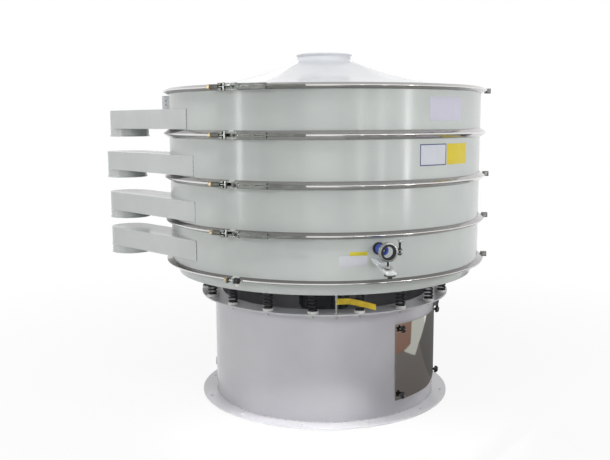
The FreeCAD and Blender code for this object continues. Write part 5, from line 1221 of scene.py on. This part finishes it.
def film(name, start, end, low, high, field, fade, border):
    """Printed film: the field's tone drifts; a border is where angle or height is within its width of
    the plate's edges, given as two plan angles and two heights."""
    finish, tree, shader, point = new_finish(name, "blank_label", Roughness=0.32)
    drift = add_node(tree, "TexNoise", {"Vector": point, "Scale": 1000 / 60.0, "Detail": 2.0})
    tone = add_node(tree, "Mix", {0: drift.outputs["Fac"], 6: linear(field), 7: linear(fade)},
                    data_type="RGBA")
    colour = tone.outputs[2]
    if border:
        part = add_node(tree, "SeparateXYZ", {"Vector": point})
        back = add_node(tree, "Math", {0: part.outputs["Y"], 1: -1.0}, operation="MULTIPLY")
        turn = add_node(tree, "Math", {0: part.outputs["X"], 1: back.outputs["Value"]}, operation="ARCTAN2")
        middle = np.radians((start + end) / 2)
        half = np.radians(end - start) / 2 - BORDER_WIDTH / SHELL
        across = add_node(tree, "Math", {0: turn.outputs["Value"], 1: middle, 2: half}, operation="COMPARE")
        rise = add_node(tree, "Math", {0: part.outputs["Z"], 1: (low + high) / 2 * MM,
                                       2: ((high - low) / 2 - BORDER_WIDTH) * MM}, operation="COMPARE")
        inside = add_node(tree, "Math", {0: across.outputs["Value"], 1: rise.outputs["Value"]},
                          operation="MULTIPLY")
        edged = add_node(tree, "Mix", {0: inside.outputs["Value"], 6: linear(border), 7: colour},
                         data_type="RGBA")
        colour = edged.outputs[2]
    tree.links.new(colour, shader.inputs["Base Color"])
    peel = add_node(tree, "TexNoise", {"Vector": point, "Scale": 1000 / 3.0})
    bump = add_node(tree, "Bump", {"Height": peel.outputs["Fac"], "Distance": 0.01 * MM})
    tree.links.new(bump.outputs["Normal"], shader.inputs["Normal"])
    return finish


print("border of a plate:", BORDER_WIDTH, "mm")

# %% Label plates
PLATES = {
    "plate_wide": (35.5, 51.8, 785.0, 903.0, "d2d0de", "cbc9d9", None),
    "plate_bordered": (31.8, 43.4, 563.0, 671.0, "d9dbe2", "cdd0d9", "3a4878"),
    "plate_yellow": (43.9, 55.9, 564.0, 670.0, "e2cf30", "d8c026", None),
    "plate_small": (4.6, 13.6, 79.0, 133.0, "dcdde4", "d4d5dd", None),
    "plate_strip": (8.0, 13.8, 134.5, 153.0, "e4d63c", "dccb34", None),
}
for number, (name, (start, end, low, high, field, fade, border)) in enumerate(PLATES.items()):
    low, high = low + RING_Z[4], high + RING_Z[4]
    finish = film("film_" + name, start, end, low, high, field, fade, border)
    section = rounded([(SHELL + 0.02, low), (SHELL + 0.75, low), (SHELL + 0.75, high), (SHELL + 0.02, high)],
                      0.3, 2)
    add_piece(name, [spun(section, start, end, 0.6)], finish, "sieve_stack",
              ["blank_plates"] if number == 0 else [])
print("plates:", len(PLATES))

# %% [markdown]
# ## Solids that stay as they are
# The screens, the dome, the motor and the weights are hidden inside, and the gaskets, the door's seal and
# the bolts under the springs show little more than an edge. A finer mesh would add nothing there, so the
# exact solids stay and only take their real finish.

# %% Finishes of the exact solids
def marked_zinc(low, high):
    """Zinc plate with a fitter's green paint mark between two heights, blotted by a noise of 9 mm."""
    finish, tree, shader, point = new_finish("zinc_with_green_mark", STEEL, Roughness=0.35)
    part = add_node(tree, "SeparateXYZ", {"Vector": point})
    level = add_node(tree, "Math", {0: part.outputs["Z"], 1: (low + high) / 2 * MM,
                                    2: (high - low) / 2 * MM}, operation="COMPARE")
    blot = add_node(tree, "TexNoise", {"Vector": point, "Scale": 1000 / 9.0, "Detail": 2.0})
    solid = add_node(tree, "Math", {0: blot.outputs["Fac"], 1: 0.36}, operation="GREATER_THAN")
    mark = add_node(tree, "Math", {0: level.outputs["Value"], 1: solid.outputs["Value"]},
                    operation="MULTIPLY")
    bare = add_node(tree, "Math", {0: 1.0, 1: mark.outputs["Value"]}, operation="SUBTRACT")
    tree.links.new(bare.outputs["Value"], shader.inputs["Metallic"])
    tone = add_node(tree, "Mix", {0: mark.outputs["Value"], 6: linear("a5a8a4"), 7: linear("3fae7e")},
                    data_type="RGBA")
    tree.links.new(tone.outputs[2], shader.inputs["Base Color"])
    return finish


CAD_FINISH = {
    "spring_bolts": marked_zinc(600.0, 609.5), "screen_rings": SCREEN_STEEL, "screen_meshes": MESH_WIRE,
    "gaskets": RUBBER, "discharge_dome": FRAME_COAT_PAINTED_SHADE, "motor_body": MOTOR_PAINT, "rotor": DARK_STEEL,
    "lead_weight": DARK_STEEL, "door_seal": RUBBER,
}
for name, finish in CAD_FINISH.items():
    for material_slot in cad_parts[name].material_slots:
        material_slot.material = finish
print("exact solids with a finish:", len(CAD_FINISH))

# %% [markdown]
# ## Floor, light and surroundings
# The machine stands in a white studio. The floor and the world look white to the camera, to mirrors and
# to glass, and light the object softly. Three broad lamps, which no reflection shows, give the even
# light; four upright tubes draw soft lines on the paint; a narrow lamp reaches the floor flange, and two
# lamps behind give the highlights on the cover. Steel could be painted darker, but real steel takes its
# greys from the room. So cards, which only reflections show, lie and stand about it: a dark mat, a brown
# rug, a piece of pale floor and a darker shade at the right, and two grey screens in front. A small flag,
# which only shades, keeps the light off the right of the base.

# %% Studio helpers
def white_share(tree, share):
    """share times the largest of Is Camera, Is Glossy and Is Transmission Ray."""
    path = add_node(tree, "LightPath")
    seen = add_node(tree, "Math", {0: path.outputs["Is Camera Ray"], 1: path.outputs["Is Glossy Ray"]},
                    operation="MAXIMUM")
    seen = add_node(tree, "Math", {0: seen.outputs["Value"], 1: path.outputs["Is Transmission Ray"]},
                    operation="MAXIMUM")
    return add_node(tree, "Math", {0: seen.outputs["Value"], 1: share}, operation="MULTIPLY").outputs["Value"]


def studio_sheet(name, corners, finish, card=False):
    """One flat sheet that isn't part of the object; a card is seen only in reflections."""
    mesh = bpy.data.meshes.new(name)
    mesh.from_pydata(corners, [], [list(range(len(corners)))])
    mesh.materials.append(finish)
    sheet = bpy.data.objects.new(name, mesh)
    bpy.context.scene.collection.objects.link(sheet)
    if card:
        sheet.visible_camera, sheet.visible_diffuse, sheet.visible_shadow = False, False, False
    return sheet


def card_cloth(name, tone):
    """Plain cloth that looks as its colour is written, whatever lights it."""
    cloth = bpy.data.materials.new(name)
    cloth.use_nodes = True
    shader = cloth.node_tree.nodes["Principled BSDF"]
    shader.inputs["Base Color"].default_value = (0.0, 0.0, 0.0, 1.0)
    shader.inputs["Emission Color"].default_value = linear(tone)
    shader.inputs["Emission Strength"].default_value = 1.0
    return cloth


def add_lamp(name, centre, towards, size, power):
    """Rectangular lamp at a centre, facing a point, that the camera doesn't see."""
    light = bpy.data.lights.new(name, "AREA")
    light.shape, light.size, light.size_y, light.energy = "RECTANGLE", size[0], size[1], power
    lamp = bpy.data.objects.new(name, light)
    lamp.location, lamp.visible_camera = centre, False
    lamp.rotation_euler = (Vector(towards) - Vector(centre)).to_track_quat("-Z", "Y").to_euler()
    bpy.context.scene.collection.objects.link(lamp)
    return lamp


print("studio helpers ready")

# %% Floor and world
floor_paint = bpy.data.materials.new("painted_floor")
floor_paint.use_nodes = True
tree = floor_paint.node_tree
paint, out = tree.nodes["Principled BSDF"], tree.nodes["Material Output"]
paint.inputs["Base Color"].default_value, paint.inputs["Roughness"].default_value = linear("f0f0ee"), 0.6
glow = add_node(tree, "Emission", {"Color": (1.0, 1.0, 1.0, 1.0), "Strength": 1.0})
far = add_node(tree, "VectorMath", {0: add_node(tree, "TexCoord").outputs["Object"]}, operation="LENGTH")
clean = add_node(tree, "MapRange", {"Value": far.outputs["Value"], "From Min": 0.9, "From Max": 4.5,
                                    "To Min": 0.9, "To Max": 1.0}, interpolation_type="SMOOTHSTEP")
both = add_node(tree, "MixShader", {0: white_share(tree, clean.outputs["Result"]), 1: paint.outputs["BSDF"],
                                    2: glow.outputs["Emission"]})
tree.links.new(both.outputs["Shader"], out.inputs["Surface"])
studio_sheet("floor", [(-14, -14, 0), (14, -14, 0), (14, 14, 0), (-14, 14, 0)], floor_paint)

world = bpy.data.worlds.new("studio")
world.use_nodes = True
bpy.context.scene.world = world
air = world.node_tree.nodes["Background"]
air.inputs["Color"].default_value = (1.0, 1.0, 1.0, 1.0)
strength = add_node(world.node_tree, "MapRange", {"Value": white_share(world.node_tree, 1.0),
                                                  "To Min": 0.34, "To Max": 1.0})
world.node_tree.links.new(strength.outputs["Result"], air.inputs["Strength"])
print("floor and world ready")

# %% Cards and flag
CARDS = {        # height over the floor in metres, colour, outline
    "pale_floor": (0.001, "b4b8b1", [(1.4, -0.6), (1.4, -0.1), (2.2, 0.8), (4.5, 2.0), (4.5, -0.6)]),
    "mat": (0.002, "4c4643", [(0.3, -3.0), (3.0, -3.0), (3.0, -1.2), (1.72, -0.52), (1.5, -0.13),
                              (1.85, 0.16), (2.2, 0.63), (3.2, 2.2), (1.2, 3.0), (0.45, 1.2), (0.72, 0.0),
                              (0.45, -0.5)]),
    "rug": (0.004, "6c3b1b", [(1.6, -0.86), (1.66, -0.72), (1.76, -0.5), (1.98, -0.24), (4.0, 0.1),
                              (4.0, -2.5), (1.9, -2.2), (1.62, -1.2)]),
    "shade": (0.003, "2c2826", [(0.72, 0.05), (1.85, 0.2), (2.2, 0.63), (3.2, 2.2), (1.2, 3.0),
                                (0.45, 1.2)]),
}
for name, (height, tone, outline) in CARDS.items():
    studio_sheet(name, [(x, y, height) for x, y in outline], card_cloth(name + "_cloth", tone), card=True)
grey_cloth = card_cloth("screen_cloth", "8b918d")
for name, x_from, x_to in (("screen_left", -6.5, -1.6), ("screen_right", 1.2, 6.5)):
    studio_sheet(name, [(x_from, -7.0, 0.0), (x_to, -7.0, 0.0), (x_to, -7.0, 3.2), (x_from, -7.0, 3.2)],
                 grey_cloth, card=True)
flag = studio_sheet("flag", [(0.7, -1.3, 0.12), (1.07, -0.77, 0.12), (1.07, -0.77, 0.66), (0.7, -1.3, 0.66)],
                    card_cloth("flag_cloth", "1c1c1c"))
flag.visible_camera, flag.visible_glossy = False, False
print("cards:", len(CARDS) + 2, "and one flag")

# %% Lamps
LAMPS = {        # centre, point they face and size in metres, power in watts
    "tube_left": ((-4.80, -3.20, 2.0), (0, 0, 1.5), (0.3, 2.8), 24),
    "tube_right_1": ((2.31, -5.40, 2.0), (0, 0, 1.5), (0.3, 2.8), 9),
    "tube_right_2": ((3.52, -4.66, 2.0), (0, 0, 1.5), (0.3, 2.8), 12),
    "tube_right_3": ((4.74, -3.30, 2.0), (0, 0, 1.5), (0.3, 2.8), 34),
    "lamp_left": ((-3.4, -4.5, 3.0), (0, 0, 1.2), (2.5, 1.0), 44),
    "lamp_right": ((5.4, -2.3, 3.0), (0, 0, 1.2), (2.0, 1.0), 64),
    "lamp_high": ((-1.0, -2.0, 5.0), (0, 0, 1.2), (3.4, 0.8), 66),
    "lamp_foot": ((0.1, -2.2, 3.4), (0.1, -0.88, 0), (1.6, 0.3), 2.3),
    "lamp_back_left": ((-1.5, 6.0, 4.1), (0, 0, 1.9), (1.1, 0.5), 8),
    "lamp_back_right": ((1.7, 6.0, 4.1), (0, 0, 1.9), (1.1, 0.5), 4),
}
lamps = {name: add_lamp(name, *setting) for name, setting in LAMPS.items()}
for name in ("lamp_left", "lamp_right", "lamp_high", "lamp_foot"):
    lamps[name].visible_glossy = False
lamps["lamp_foot"].data.spread = np.radians(14)
bpy.context.scene.view_settings.view_transform = "Standard"
print("lamps:", list(lamps))

# %% [markdown]
# ## Count of pieces
# The number of pieces and of their faces is printed.

# %% Count
print("pieces:", len(made), "faces:", sum(made.values()))
